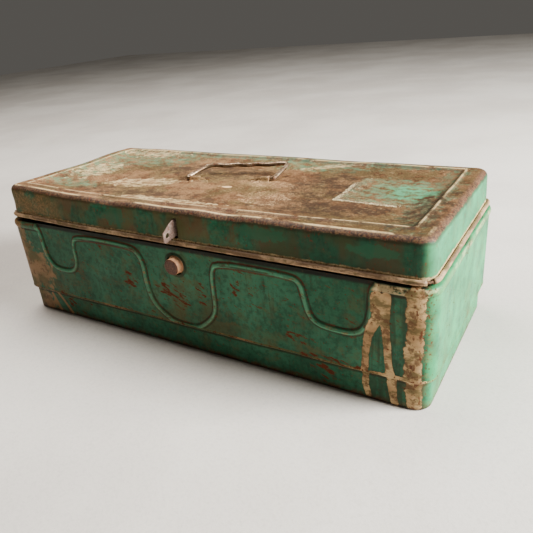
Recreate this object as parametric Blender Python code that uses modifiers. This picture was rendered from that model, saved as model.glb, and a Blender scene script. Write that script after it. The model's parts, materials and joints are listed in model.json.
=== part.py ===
"""Pressed-steel lunch box with a hinged lid, a wire handle and a push-button catch.

Frame: metres, +Z up, +X along the box, the front facing -Y. The origin is on the floor, at the
middle of the whole object's plan. Sections are written as (outset, height) pairs: outset is
how far a point stands outside the body's plan outline, and height is measured from the floor.
"""

import math

import bmesh
import bpy
from mathutils import Matrix, Vector

MM = 0.001

# Driving dimensions
LENGTH = 470 * MM
WIDTH = 200 * MM
CORNER_RADIUS = 16 * MM
CORNER_STEPS = 5
SMALLEST_CORNER = 3 * MM
SHEET = 0.9 * MM
GAP = 0.3 * MM

# The wall and the skirt are each split at their corners, and the lid's top above its skirt
SIDES = {"front": (0, -1), "back": (0, 1), "left": (-1, 0), "right": (1, 0)}
SKIRT_TOP = 138.5 * MM
SPLIT_REACH = 20 * MM

# Body: step near the floor, shoulder bead and the rim that the lid drops over
BAND_INSET = 3.4 * MM
BAND_TOP = 26 * MM
STEP_TOP = 28.2 * MM
FOOT_FLANGE = 7.5 * MM
BEAD_BOTTOM = 102.5 * MM
BEAD_TOP = 109.5 * MM
BEAD_PROUD = 1.4 * MM
RIM_INSET = 6.2 * MM
RIM_FOOT = 111.3 * MM
RIM_TOP = 118 * MM

# Bottom pan
PAN_FLOOR = 1.2 * MM
PAN_FLANGE_TOP = 5.2 * MM
PAN_RAISE = 2.4 * MM

# Lid
CURL_OUTSET = -2.4 * MM
CURL_HEIGHT = 113.6 * MM
CURL_INNER_RADIUS = 1.6 * MM
CURL_TURN = 280
CURL_STEPS = 7
EDGE_WIRE_RADIUS = 1.15 * MM
SKIRT_TOP_INSET = 4.4 * MM
LID_HEIGHT = 145 * MM
LID_ROUNDING = 6.5 * MM
LID_BEAD_INSET = 23 * MM
LID_BEAD_PROUD = 1.3 * MM
LID_PANEL = 141.2 * MM
LID_PANEL_INSET = 45 * MM

# Handle: a wire bail set a little askew on the lid
WIRE_RADIUS = 2 * MM
HANDLE_X = -4.6 * MM
HANDLE_Y = 4.3 * MM
HANDLE_TURN = math.radians(12.4)
HANDLE_LEAN = math.radians(14)
FOOT_HEIGHT = LID_PANEL + WIRE_RADIUS + 0.4 * MM
FOOT_SPAN = 96.2 * MM
FOOT_LENGTH = 13.4 * MM
FOOT_BEND = 4 * MM
GRIP_LEFT = Vector((-34.1, 25.9, 0)) * MM
GRIP_RIGHT = Vector((55.5, 30.3, 0)) * MM
GRIP_WAVES = 4
GRIP_WAVE_HEIGHT = 1.6 * MM
BOSS_MOUTH_RADIUS = 3.8 * MM
BOSS_NECK_RADIUS = 3.3 * MM
BOSS_STRAIGHT = 11 * MM
BOSS_TAPER = 8 * MM
BORE_RADIUS = WIRE_RADIUS + GAP
BORE_DEPTH = 9.8 * MM

# Catch: a leaf spring inside the front wall that carries the tongue and the button
SPRING_SHEET = 0.8 * MM
SPRING_OUTSET = -7.5 * MM
SPRING_WIDTH = 16 * MM
SPRING_FOOT = 36 * MM
FLEX_HEIGHT = 52 * MM
TONGUE_X = 2 * MM
TONGUE_SHEET = 1.2 * MM
TONGUE_BOTTOM = 119 * MM
TONGUE_TOP = 135.4 * MM
TONGUE_TIP_TOP = 128.6 * MM
TONGUE_REACH = 11.7 * MM
PADLOCK_HOLE_RADIUS = 2.5 * MM
PADLOCK_HOLE_REACH = 6.4 * MM
PADLOCK_HOLE_HEIGHT = 123.9 * MM
SLOT_LEFT = 0.9 * MM
SLOT_RIGHT = 5 * MM
SLOT_BOTTOM = 117.6 * MM
SLOT_TOP = 136.8 * MM
BUTTON_HEIGHT = 92 * MM
BUTTON_X = -1 * MM
BUTTON_RADIUS = 7.8 * MM
BUTTON_PROUD = 6 * MM
BUTTON_HOLE_RADIUS = 9.2 * MM
COLLAR_RADIUS = 10.4 * MM
COLLAR_THICK = 1.1 * MM
BUTTON_FLANGE_RADIUS = 10.6 * MM
TENON_RADIUS = 2 * MM
WASHER_RADIUS = 5 * MM
SPRING_RIVET_RADIUS = 1.4 * MM
SPRING_RIVET_HEAD_RADIUS = 2.2 * MM
SPRING_RIVET_X = 4.5 * MM
SPRING_RIVET_HEIGHT = 43 * MM

# Hinges
HINGE_XS = {"left": -150 * MM, "right": 150 * MM}
PIN_OUTSET = 4 * MM
PIN_HEIGHT = 110.9 * MM
PIN_RADIUS = 1.3 * MM
KNUCKLE_RADIUS = 2.9 * MM
KNUCKLE_BORE = PIN_RADIUS + GAP
HINGE_WIDTH = 40 * MM
MIDDLE_KNUCKLE = 13.4 * MM
LEAF_SHEET = 1.2 * MM
HINGE_RIVET_X = 13 * MM
BODY_RIVET_HEIGHT = 90 * MM
LID_RIVET_HEIGHT = 129 * MM
RIVET_RADIUS = 1.5 * MM
RIVET_HEAD_RADIUS = 3 * MM
RIVET_HEAD = 1.5 * MM
RIVET_TAIL = 1.2 * MM

ROUND_STEPS = 20
SMALL_ROUND_STEPS = 12
KEEP_THRESHOLD = 0.00001

FRONT = -WIDTH / 2
BACK = WIDTH / 2
FRONT_REACH = WIDTH / 2 + TONGUE_REACH
BACK_REACH = WIDTH / 2 + PIN_OUTSET + KNUCKLE_RADIUS
BODY_Y = (FRONT_REACH - BACK_REACH) / 2


def clear_scene():
    for obj in list(bpy.data.objects):
        bpy.data.objects.remove(obj, do_unlink=True)


def make_collection(name):
    collection = bpy.data.collections.new(name)
    bpy.context.scene.collection.children.link(collection)
    return collection


clear_scene()
PARTS = make_collection("lunch_box")
CUTTERS = make_collection("cutters")
CUTTERS.hide_render = True


def make_empty(name, location, parent=None, rotation=(0, 0, 0)):
    empty = bpy.data.objects.new(name, None)
    empty.parent = parent
    empty.location = location
    empty.rotation_euler = rotation
    empty.empty_display_size = 0.02
    PARTS.objects.link(empty)
    return empty


BOX = make_empty("box_centre", (0, BODY_Y, 0))
LID_AXIS = make_empty("lid_hinge_axis", (0, BACK + PIN_OUTSET, PIN_HEIGHT), BOX)
CATCH_AXIS = make_empty("catch_flex_axis", (0, FRONT - SPRING_OUTSET, FLEX_HEIGHT), BOX)
HANDLE_AXIS = make_empty(
    "handle_axis",
    Vector((HANDLE_X, HANDLE_Y, FOOT_HEIGHT)) - LID_AXIS.location,
    LID_AXIS,
    (0, 0, HANDLE_TURN),
)


def finish_material(name, colour, roughness, metallic):
    material = bpy.data.materials.new(name)
    material.use_nodes = True
    shader = material.node_tree.nodes["Principled BSDF"]
    shader.inputs["Base Color"].default_value = (*colour, 1)
    shader.inputs["Roughness"].default_value = roughness
    shader.inputs["Metallic"].default_value = metallic
    return material


FINISHES = {
    "body_paint": finish_material("body_paint", (0.10, 0.30, 0.19), 0.45, 0.0),
    "lid_paint": finish_material("lid_paint", (0.22, 0.26, 0.18), 0.5, 0.0),
    "pan_paint": finish_material("pan_paint", (0.09, 0.25, 0.16), 0.5, 0.0),
    "handle_steel": finish_material("handle_steel", (0.32, 0.29, 0.25), 0.4, 0.9),
    "catch_steel": finish_material("catch_steel", (0.45, 0.38, 0.35), 0.4, 0.9),
    "button_steel": finish_material("button_steel", (0.20, 0.13, 0.10), 0.5, 0.7),
    "hinge_steel": finish_material("hinge_steel", (0.24, 0.22, 0.18), 0.5, 0.8),
    "rivet_steel": finish_material("rivet_steel", (0.30, 0.27, 0.24), 0.45, 0.9),
    "edge_wire_steel": finish_material("edge_wire_steel", (0.20, 0.15, 0.12), 0.5, 0.8),
}


def add_object(name, mesh, finish, pivot=BOX):
    """Adds a piece whose mesh is drawn in the box's own frame, and hangs it on its pivot."""
    obj = bpy.data.objects.new(name, mesh)
    obj.parent = pivot
    if pivot is not BOX:
        obj.location = -pivot.location
    if finish is None:
        obj.hide_render = True
        obj.display_type = "WIRE"
        CUTTERS.objects.link(obj)
    else:
        mesh.materials.append(FINISHES[finish])
        PARTS.objects.link(obj)
    return obj


def mesh_from(bm, name):
    mesh = bpy.data.meshes.new(name)
    bm.to_mesh(mesh)
    bm.free()
    return mesh


def smooth(obj, angle=35):
    obj.data.shade_smooth()
    obj.data.set_sharp_from_angle(angle=math.radians(angle))


def outline(outset, height):
    """The box's rounded plan outline, moved out by outset, as points in order at one height."""
    radius = max(CORNER_RADIUS + outset, SMALLEST_CORNER)
    half_x = LENGTH / 2 + outset - radius
    half_y = WIDTH / 2 + outset - radius
    points = []
    for corner, (side_x, side_y) in enumerate([(1, 1), (-1, 1), (-1, -1), (1, -1)]):
        for step in range(CORNER_STEPS + 1):
            angle = math.radians(90 * (corner + step / CORNER_STEPS))
            x = side_x * half_x + radius * math.cos(angle)
            y = side_y * half_y + radius * math.sin(angle)
            points.append(Vector((x, y, height)))
    return points


def add_ring(bm, points):
    verts = [bm.verts.new(point) for point in points]
    return [bm.edges.new((a, b)) for a, b in zip(verts, verts[1:] + verts[:1])]


def wrapped_sheet(name, section, finish, pivot=BOX, close_end=False):
    """A sheet that follows the section right round the outline, thickened inwards."""
    bm = bmesh.new()
    rings = [add_ring(bm, outline(outset, height)) for outset, height in section]
    for lower, upper in zip(rings, rings[1:]):
        bmesh.ops.bridge_loops(bm, edges=lower + upper)
    if close_end:
        bmesh.ops.contextual_create(bm, geom=rings[-1])
    bmesh.ops.recalc_face_normals(bm, faces=bm.faces)
    obj = add_object(name, mesh_from(bm, name), finish, pivot)
    thicken(obj, SHEET, -1)
    smooth(obj)
    return obj


def thicken(obj, thickness, offset):
    solidify = obj.modifiers.new("sheet_thickness", "SOLIDIFY")
    solidify.thickness = thickness
    solidify.offset = offset
    solidify.use_even_offset = True


def combine(target, tool, operation="DIFFERENCE"):
    boolean = target.modifiers.new(tool.name, "BOOLEAN")
    boolean.object = tool
    boolean.operation = operation
    boolean.solver = "EXACT"


def cylinder(name, finish, radius, start, end, pivot=BOX, steps=ROUND_STEPS, end_radius=None):
    """A cylinder or cone from one point to another, in the box's frame."""
    start = Vector(start)
    along = Vector(end) - start
    bm = bmesh.new()
    bmesh.ops.create_cone(
        bm,
        cap_ends=True,
        segments=steps,
        radius1=radius,
        radius2=radius if end_radius is None else end_radius,
        depth=along.length,
        matrix=Matrix.Translation((0, 0, along.length / 2)),
    )
    turn = Vector((0, 0, 1)).rotation_difference(along).to_matrix().to_4x4()
    bmesh.ops.transform(bm, matrix=Matrix.Translation(start) @ turn, verts=bm.verts)
    obj = add_object(name, mesh_from(bm, name), finish, pivot)
    smooth(obj)
    return obj


def block(name, finish, low, high, pivot=BOX):
    low = Vector(low)
    high = Vector(high)
    bm = bmesh.new()
    bmesh.ops.create_cube(bm, size=1)
    bmesh.ops.scale(bm, vec=high - low, verts=bm.verts)
    bmesh.ops.translate(bm, vec=(low + high) / 2, verts=bm.verts)
    return add_object(name, mesh_from(bm, name), finish, pivot)


def turned(name, profile, finish, pivot, centre, axis, steps):
    """A turned piece: profile holds (radius, distance along axis), from its far end back."""
    mesh = bpy.data.meshes.new(name)
    points = [(radius, 0, along) for radius, along in profile]
    mesh.from_pydata(points, [(i, i + 1) for i in range(len(points) - 1)], [])
    obj = add_object(name, mesh, finish, pivot)
    obj.location += Vector(centre)
    obj.rotation_euler = Vector((0, 0, 1)).rotation_difference(Vector(axis)).to_euler()
    screw = obj.modifiers.new("turning", "SCREW")
    screw.steps = steps
    screw.render_steps = steps
    screw.use_merge_vertices = True
    screw.merge_threshold = KEEP_THRESHOLD
    screw.use_smooth_shade = False
    return obj


def folded_strip(name, section, sheet, left, right, finish, pivot=BOX):
    """A sheet-metal strip, folded to a (y, z) section and running from left to right in x."""
    bm = bmesh.new()
    verts = [bm.verts.new((left, y, z)) for y, z in section]
    edges = [bm.edges.new((a, b)) for a, b in zip(verts, verts[1:])]
    swept = bmesh.ops.extrude_edge_only(bm, edges=edges)["geom"]
    far = [item for item in swept if isinstance(item, bmesh.types.BMVert)]
    bmesh.ops.translate(bm, vec=(right - left, 0, 0), verts=far)
    obj = add_object(name, mesh_from(bm, name), finish, pivot)
    thicken(obj, sheet, 0)
    return obj


def arc(centre, radius, start, turn, steps):
    """Points on a circle in the section plane, start and turn in degrees."""
    angles = [math.radians(start + turn * step / steps) for step in range(steps + 1)]
    return [
        (centre[0] + radius * math.cos(a), centre[1] + radius * math.sin(a)) for a in angles
    ]


# Body ------------------------------------------------------------------------------------


def wall_region(name, side, low, high):
    """The space that one side takes, out to mitre planes through the corners' diagonals."""
    x, y = side
    outer = WIDTH / 2 + SPLIT_REACH
    across = LENGTH / 2 - WIDTH / 2
    slip = GAP / math.sqrt(2)
    if y:
        plan = [(-across, 0), (across, 0), (across + outer, outer), (-across - outer, outer)]
        plan = [(px, y * py) for px, py in plan]
        shift = Vector((0, y * slip, 0))
    else:
        plan = [(across, 0), (across + outer, outer), (across + outer, -outer)]
        plan = [(x * px, py) for px, py in plan]
        shift = Vector((x * slip, 0, 0))
    bm = bmesh.new()
    face = bm.faces.new([bm.verts.new(Vector((px, py, low)) + shift) for px, py in plan])
    grown = bmesh.ops.extrude_face_region(bm, geom=[face])["geom"]
    top = [item for item in grown if isinstance(item, bmesh.types.BMVert)]
    bmesh.ops.translate(bm, vec=(0, 0, high - low), verts=top)
    bmesh.ops.recalc_face_normals(bm, faces=bm.faces)
    return mesh_from(bm, name)


def split_off(piece, side, low, high, pivot):
    name = piece.name + "_region"
    region = add_object(name, wall_region(name, SIDES[side], low, high), None, pivot)
    combine(piece, region, "INTERSECT")


def body_section():
    middle = (BEAD_BOTTOM + BEAD_TOP) / 2
    quarter = (BEAD_TOP - BEAD_BOTTOM) / 4
    return [
        (-FOOT_FLANGE, 0),
        (-BAND_INSET - 1.2 * MM, 0),
        (-BAND_INSET, 1.2 * MM),
        (-BAND_INSET, BAND_TOP),
        (0, STEP_TOP),
        (0, BEAD_BOTTOM),
        (BEAD_PROUD * 0.75, middle - quarter),
        (BEAD_PROUD, middle),
        (BEAD_PROUD * 0.75, middle + quarter),
        (-SHEET, RIM_FOOT - SHEET),
        (-RIM_INSET + SHEET, RIM_FOOT - SHEET),
        (-RIM_INSET, RIM_FOOT),
        (-RIM_INSET, RIM_TOP),
    ]


def make_body_walls():
    for side in SIDES:
        wall = wrapped_sheet(f"body_{side}_wall", body_section(), "body_paint")
        split_off(wall, side, -SPLIT_REACH, RIM_TOP + SPLIT_REACH, BOX)
        if side == "front":
            cut_button_hole(wall)
        if side == "back":
            cut_rivet_holes(wall, "body", BACK, BODY_RIVET_HEIGHT, BOX)


def cut_button_hole(wall):
    ring = ring_mesh("button_collar", COLLAR_RADIUS, COLLAR_THICK)
    collar = add_object("button_collar", ring, None)
    collar.location = (BUTTON_X, FRONT - SHEET / 2, BUTTON_HEIGHT)
    collar.rotation_euler = (math.radians(90), 0, 0)
    combine(wall, collar, "UNION")
    hole = cylinder(
        "button_hole",
        None,
        BUTTON_HOLE_RADIUS,
        (BUTTON_X, FRONT - 4 * MM, BUTTON_HEIGHT),
        (BUTTON_X, FRONT + 4 * MM, BUTTON_HEIGHT),
    )
    combine(wall, hole)


def ring_mesh(name, radius, thick):
    """A ring of round section, lying flat."""
    curve = bpy.data.curves.new(name, "CURVE")
    curve.dimensions = "3D"
    curve.bevel_depth = thick
    curve.bevel_resolution = 1
    spline = curve.splines.new("POLY")
    spline.points.add(ROUND_STEPS - 1)
    for step, point in enumerate(spline.points):
        angle = 2 * math.pi * step / ROUND_STEPS
        point.co = (radius * math.cos(angle), radius * math.sin(angle), 0, 1)
    spline.use_cyclic_u = True
    return mesh_of_curve(name, curve)


def mesh_of_curve(name, curve):
    """The closed mesh that a bevelled curve makes, with its end caps welded on."""
    guide = bpy.data.objects.new(name + "_guide", curve)
    CUTTERS.objects.link(guide)
    bpy.context.view_layer.update()
    graph = bpy.context.evaluated_depsgraph_get()
    mesh = bpy.data.meshes.new_from_object(guide.evaluated_get(graph))
    mesh.materials.clear()
    bpy.data.objects.remove(guide)
    bm = bmesh.new()
    bm.from_mesh(mesh)
    bmesh.ops.remove_doubles(bm, verts=bm.verts, dist=KEEP_THRESHOLD)
    bmesh.ops.recalc_face_normals(bm, faces=bm.faces)
    bm.to_mesh(mesh)
    bm.free()
    mesh.name = name
    return mesh


def make_bottom_pan():
    inset = BAND_INSET + SHEET + GAP
    section = [
        (-inset, PAN_FLANGE_TOP),
        (-inset, PAN_FLOOR + SHEET),
        (-inset - SHEET, PAN_FLOOR),
        (-inset - 14 * MM, PAN_FLOOR),
        (-inset - 17 * MM, PAN_FLOOR + PAN_RAISE),
    ]
    return wrapped_sheet("bottom_pan", section, "pan_paint", close_end=True)


# Lid -------------------------------------------------------------------------------------


def lid_section():
    curl = arc((CURL_OUTSET, CURL_HEIGHT), CURL_INNER_RADIUS, 180, CURL_TURN, CURL_STEPS)
    rounding = arc(
        (-SKIRT_TOP_INSET - LID_ROUNDING, LID_HEIGHT - LID_ROUNDING), LID_ROUNDING, 0, 90, 3
    )
    bead = -LID_BEAD_INSET
    section = list(reversed(curl)) + rounding
    section += [
        (bead + 2.7 * MM, LID_HEIGHT),
        (bead + 1.2 * MM, LID_HEIGHT + LID_BEAD_PROUD),
        (bead - 1.2 * MM, LID_HEIGHT + LID_BEAD_PROUD),
        (bead - 3.2 * MM, LID_HEIGHT - 2 * MM),
        (-LID_PANEL_INSET, LID_PANEL),
    ]
    return section


def make_lid_sheet(name):
    return wrapped_sheet(name, lid_section(), "lid_paint", LID_AXIS, close_end=True)


def make_lid():
    top = make_lid_sheet("lid_top")
    region = block(
        "lid_top_region",
        None,
        (-LENGTH, -WIDTH, SKIRT_TOP + GAP),
        (LENGTH, WIDTH, SKIRT_TOP + SPLIT_REACH),
        LID_AXIS,
    )
    combine(top, region, "INTERSECT")
    for side in (-1, 1):
        add_handle_boss(top, side)
    for side in SIDES:
        skirt = make_lid_sheet(f"lid_{side}_skirt")
        split_off(skirt, side, BEAD_BOTTOM, SKIRT_TOP, LID_AXIS)
        if side == "front":
            cut_tongue_slot(skirt)
        if side == "back":
            cut_rivet_holes(skirt, "lid", BACK - SKIRT_TOP_INSET, LID_RIVET_HEIGHT, LID_AXIS)


def cut_tongue_slot(skirt):
    slot = block(
        "tongue_slot",
        None,
        (SLOT_LEFT, FRONT, SLOT_BOTTOM),
        (SLOT_RIGHT, FRONT + 8 * MM, SLOT_TOP),
        LID_AXIS,
    )
    combine(skirt, slot)


def add_handle_boss(shell, side):
    """A half-tunnel pressed up in the lid, with a blind bore that holds one foot of the handle."""
    name = "handle_boss_" + ("left" if side < 0 else "right")
    mouth = FOOT_SPAN / 2 - FOOT_BEND - GAP
    bm = bmesh.new()
    bmesh.ops.create_cone(
        bm,
        cap_ends=True,
        segments=16,
        radius1=BOSS_MOUTH_RADIUS,
        radius2=BOSS_NECK_RADIUS,
        depth=BOSS_STRAIGHT,
        matrix=Matrix.Translation((0, 0, BOSS_STRAIGHT / 2)),
    )
    neck = [f for f in bm.faces if f.normal.z > 0.9 and len(f.verts) == 16]
    grown = bmesh.ops.extrude_discrete_faces(bm, faces=neck)["faces"]
    tail = list({vert for face in grown for vert in face.verts})
    bmesh.ops.scale(bm, vec=(0.3, 0.3, 1), verts=tail)
    bmesh.ops.translate(bm, vec=(0, 0, BOSS_TAPER), verts=tail)
    bmesh.ops.rotate(bm, matrix=Matrix.Rotation(math.radians(-90 * side), 3, "Y"), verts=bm.verts)
    bmesh.ops.translate(bm, vec=(side * mouth, 0, 0), verts=bm.verts)
    floor = -FOOT_HEIGHT + LID_PANEL - SHEET / 2
    kept = bmesh.ops.bisect_plane(
        bm,
        geom=list(bm.verts) + list(bm.edges) + list(bm.faces),
        plane_co=(0, 0, floor),
        plane_no=(0, 0, 1),
        clear_inner=True,
    )["geom_cut"]
    rim = [item for item in kept if isinstance(item, bmesh.types.BMEdge)]
    bmesh.ops.contextual_create(bm, geom=rim)
    bmesh.ops.recalc_face_normals(bm, faces=bm.faces)
    boss = on_handle_axis(name, mesh_from(bm, name))
    combine(shell, boss, "UNION")
    bm = bmesh.new()
    bmesh.ops.create_cone(
        bm,
        cap_ends=True,
        segments=16,
        radius1=BORE_RADIUS,
        radius2=BORE_RADIUS,
        depth=2 * BORE_DEPTH,
        matrix=Matrix.Translation((side * mouth, 0, 0)) @ Matrix.Rotation(math.pi / 2, 4, "Y"),
    )
    combine(shell, on_handle_axis(name + "_bore", mesh_from(bm, name + "_bore")))


def on_handle_axis(name, mesh):
    obj = add_object(name, mesh, None, HANDLE_AXIS)
    obj.location = (0, 0, 0)
    return obj


def make_lid_edge_wire():
    """The stiffening wire that the lid's curled edge is rolled round."""
    curve = bpy.data.curves.new("lid_edge_wire", "CURVE")
    curve.dimensions = "3D"
    curve.bevel_depth = EDGE_WIRE_RADIUS
    curve.bevel_resolution = 1
    points = outline(CURL_OUTSET, CURL_HEIGHT)
    spline = curve.splines.new("POLY")
    spline.points.add(len(points) - 1)
    for point, place in zip(spline.points, points):
        point.co = (*place, 1)
    spline.use_cyclic_u = True
    mesh = mesh_of_curve("lid_edge_wire", curve)
    wire = add_object("lid_edge_wire", mesh, "edge_wire_steel", LID_AXIS)
    smooth(wire)
    return wire


# Handle ----------------------------------------------------------------------------------


def handle_route():
    """The wire's middle line: foot, leg, waved grip, leg and foot, in the handle's own plane."""
    half = FOOT_SPAN / 2
    left_foot = Vector((-half, 0, 0))
    right_foot = Vector((half, 0, 0))
    points = [left_foot + Vector((FOOT_LENGTH, 0, 0))]
    points += rounded_corner(points[0], left_foot, GRIP_LEFT, FOOT_BEND, 3)
    points += rounded_corner(left_foot, GRIP_LEFT, GRIP_RIGHT, 9 * MM, 4)
    grip = GRIP_RIGHT - GRIP_LEFT
    across = Vector((-grip.y, grip.x, 0)).normalized()
    steps = GRIP_WAVES * 6
    for step in range(3, steps - 2):
        share = step / steps
        swing = math.cos(2 * math.pi * GRIP_WAVES * share)
        points.append(GRIP_LEFT + grip * share - across * GRIP_WAVE_HEIGHT * (swing + 1) / 2)
    foot_end = right_foot - Vector((FOOT_LENGTH, 0, 0))
    points += rounded_corner(points[-1], GRIP_RIGHT, right_foot, 5 * MM, 3)
    points += rounded_corner(GRIP_RIGHT, right_foot, foot_end, FOOT_BEND, 3)
    points.append(foot_end)
    return points


def rounded_corner(before, corner, after, reach, steps):
    """Points that round a corner off, from reach before it to reach after it."""
    start = corner + (before - corner).normalized() * reach
    end = corner + (after - corner).normalized() * reach
    points = []
    for step in range(steps + 1):
        t = step / steps
        points.append(start * (1 - t) ** 2 + corner * 2 * t * (1 - t) + end * t * t)
    return points


def make_handle():
    curve = bpy.data.curves.new("handle", "CURVE")
    curve.dimensions = "3D"
    curve.bevel_depth = WIRE_RADIUS
    curve.bevel_resolution = 2
    curve.use_fill_caps = True
    points = handle_route()
    spline = curve.splines.new("POLY")
    spline.points.add(len(points) - 1)
    for point, place in zip(spline.points, points):
        point.co = (*place, 1)
    handle = add_object("handle", mesh_of_curve("handle", curve), "handle_steel", HANDLE_AXIS)
    handle.location = (0, 0, 0)
    handle.rotation_euler = (HANDLE_LEAN, 0, 0)
    smooth(handle)
    return handle


# Catch -----------------------------------------------------------------------------------


def make_catch_spring():
    """A flat leaf with its upper end folded forward into the tongue that the lid catches on."""
    y = FRONT - SPRING_OUTSET + SPRING_SHEET / 2
    tongue_right = TONGUE_X + TONGUE_SHEET / 2
    spring = block(
        "catch_spring",
        "catch_steel",
        (-SPRING_WIDTH / 2, y - SPRING_SHEET / 2, SPRING_FOOT),
        (SPRING_WIDTH / 2, y + SPRING_SHEET / 2, TONGUE_BOTTOM - 2 * MM),
        CATCH_AXIS,
    )
    neck = block(
        "tongue_neck",
        None,
        (-SPRING_WIDTH / 2, y - SPRING_SHEET / 2, TONGUE_BOTTOM - 5 * MM),
        (tongue_right, y + SPRING_SHEET / 2, TONGUE_TOP),
        CATCH_AXIS,
    )
    combine(spring, neck, "UNION")
    combine(spring, tongue_plate(y), "UNION")
    hole = cylinder(
        "padlock_hole",
        None,
        PADLOCK_HOLE_RADIUS,
        (TONGUE_X - 4 * MM, FRONT - PADLOCK_HOLE_REACH, PADLOCK_HOLE_HEIGHT),
        (TONGUE_X + 4 * MM, FRONT - PADLOCK_HOLE_REACH, PADLOCK_HOLE_HEIGHT),
        CATCH_AXIS,
    )
    combine(spring, hole)
    tenon_hole = cylinder(
        "tenon_hole",
        None,
        TENON_RADIUS + GAP,
        (BUTTON_X, y - 3 * MM, BUTTON_HEIGHT),
        (BUTTON_X, y + 3 * MM, BUTTON_HEIGHT),
        CATCH_AXIS,
    )
    combine(spring, tenon_hole)
    cut_spring_rivet_holes(spring, CATCH_AXIS)
    return spring


def tongue_plate(spring_y):
    """The tongue's flat outline in the YZ plane, with a sloping top and a rounded tip."""
    tip = FRONT - TONGUE_REACH
    corners = [
        (spring_y, TONGUE_BOTTOM),
        (tip + 1.5 * MM, TONGUE_BOTTOM),
        (tip, TONGUE_BOTTOM + 2.5 * MM),
        (tip, TONGUE_TIP_TOP - 2 * MM),
        (tip + 1.2 * MM, TONGUE_TIP_TOP),
        (FRONT + 4 * MM, TONGUE_TOP),
        (spring_y, TONGUE_TOP),
    ]
    bm = bmesh.new()
    verts = [bm.verts.new((TONGUE_X - TONGUE_SHEET / 2, y, z)) for y, z in corners]
    face = bm.faces.new(verts)
    moved = bmesh.ops.extrude_face_region(bm, geom=[face])["geom"]
    far = [item for item in moved if isinstance(item, bmesh.types.BMVert)]
    bmesh.ops.translate(bm, vec=(TONGUE_SHEET, 0, 0), verts=far)
    bmesh.ops.recalc_face_normals(bm, faces=bm.faces)
    return add_object("tongue_plate", mesh_from(bm, "tongue_plate"), None, CATCH_AXIS)


def cut_spring_rivet_holes(target, pivot):
    y = FRONT - SPRING_OUTSET
    for side in (-1, 1):
        x = side * SPRING_RIVET_X
        hole = cylinder(
            f"{target.name}_rivet_hole_{'left' if side < 0 else 'right'}",
            None,
            SPRING_RIVET_RADIUS + GAP,
            (x, y - 5 * MM, SPRING_RIVET_HEIGHT),
            (x, y + 5 * MM, SPRING_RIVET_HEIGHT),
            pivot,
            SMALL_ROUND_STEPS,
        )
        combine(target, hole)


def make_spring_bracket():
    """A hat-shaped strip welded inside the front wall, which holds the spring off the wall."""
    wall = FRONT + SHEET + GAP + SHEET / 2
    land = FRONT - SPRING_OUTSET - GAP - SHEET / 2
    section = [
        (wall, 30 * MM),
        (wall, 35 * MM),
        (land, 38 * MM),
        (land, 48 * MM),
        (wall, 51 * MM),
        (wall, 56 * MM),
    ]
    bracket = folded_strip("spring_bracket", section, SHEET, -10 * MM, 10 * MM, "catch_steel")
    cut_spring_rivet_holes(bracket, BOX)
    return bracket


def make_spring_rivets():
    y = FRONT - SPRING_OUTSET
    for side, word in ((-1, "left"), (1, "right")):
        rivet(
            f"spring_rivet_{word}",
            (side * SPRING_RIVET_X, y, SPRING_RIVET_HEIGHT),
            (0, 1, 0),
            SPRING_RIVET_RADIUS,
            SPRING_RIVET_HEAD_RADIUS,
            SPRING_SHEET + GAP,
            SHEET + 2 * GAP,
            BOX,
        )


def rivet(name, centre, axis, radius, head_radius, head_at, tail_at, pivot):
    """A domed rivet: head_at and tail_at are how far its two clamping faces are from centre."""
    tail = -tail_at - RIVET_TAIL * 0.6
    profile = [
        (0, head_at + RIVET_HEAD * 0.6),
        (head_radius * 0.6, head_at + RIVET_HEAD * 0.48),
        (head_radius, head_at + RIVET_HEAD * 0.1),
        (head_radius, head_at),
        (radius, head_at),
        (radius, -tail_at),
        (head_radius * 0.85, -tail_at),
        (head_radius * 0.85, tail),
        (0, tail),
    ]
    return turned(name, profile, "rivet_steel", pivot, centre, axis, SMALL_ROUND_STEPS)


def make_push_button():
    """The button: a crowned head, a flange behind the wall, and a tenon through the spring."""
    wall_inside = SHEET + 2 * GAP
    leaf = -SPRING_OUTSET
    profile = [
        (0, BUTTON_PROUD),
        (BUTTON_RADIUS * 0.55, BUTTON_PROUD - 0.2 * MM),
        (BUTTON_RADIUS * 0.88, BUTTON_PROUD - 0.9 * MM),
        (BUTTON_RADIUS, BUTTON_PROUD - 2 * MM),
        (BUTTON_RADIUS, -wall_inside),
        (BUTTON_FLANGE_RADIUS, -wall_inside),
        (BUTTON_FLANGE_RADIUS, -wall_inside - 1.1 * MM),
        (4 * MM, -wall_inside - 1.1 * MM),
        (4 * MM, -leaf + GAP),
        (TENON_RADIUS, -leaf + GAP),
        (TENON_RADIUS, -leaf - SPRING_SHEET - 2 * GAP - 0.8 * MM),
        (TENON_RADIUS * 1.4, -leaf - SPRING_SHEET - 2 * GAP - 0.8 * MM),
        (TENON_RADIUS * 1.2, -leaf - SPRING_SHEET - 2 * GAP - 1.7 * MM),
        (0, -leaf - SPRING_SHEET - 2 * GAP - 1.9 * MM),
    ]
    return turned(
        "push_button",
        profile,
        "button_steel",
        CATCH_AXIS,
        (BUTTON_X, FRONT, BUTTON_HEIGHT),
        (0, -1, 0),
        ROUND_STEPS,
    )


def make_button_washer():
    front = FRONT - SPRING_OUTSET + SPRING_SHEET + GAP
    washer = cylinder(
        "button_washer",
        "rivet_steel",
        WASHER_RADIUS,
        (BUTTON_X, front, BUTTON_HEIGHT),
        (BUTTON_X, front + 0.8 * MM, BUTTON_HEIGHT),
        CATCH_AXIS,
    )
    hole = cylinder(
        "washer_hole",
        None,
        TENON_RADIUS + GAP,
        (BUTTON_X, front - 2 * MM, BUTTON_HEIGHT),
        (BUTTON_X, front + 3 * MM, BUTTON_HEIGHT),
        CATCH_AXIS,
    )
    combine(washer, hole)
    return washer


# Hinges ----------------------------------------------------------------------------------


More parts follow.
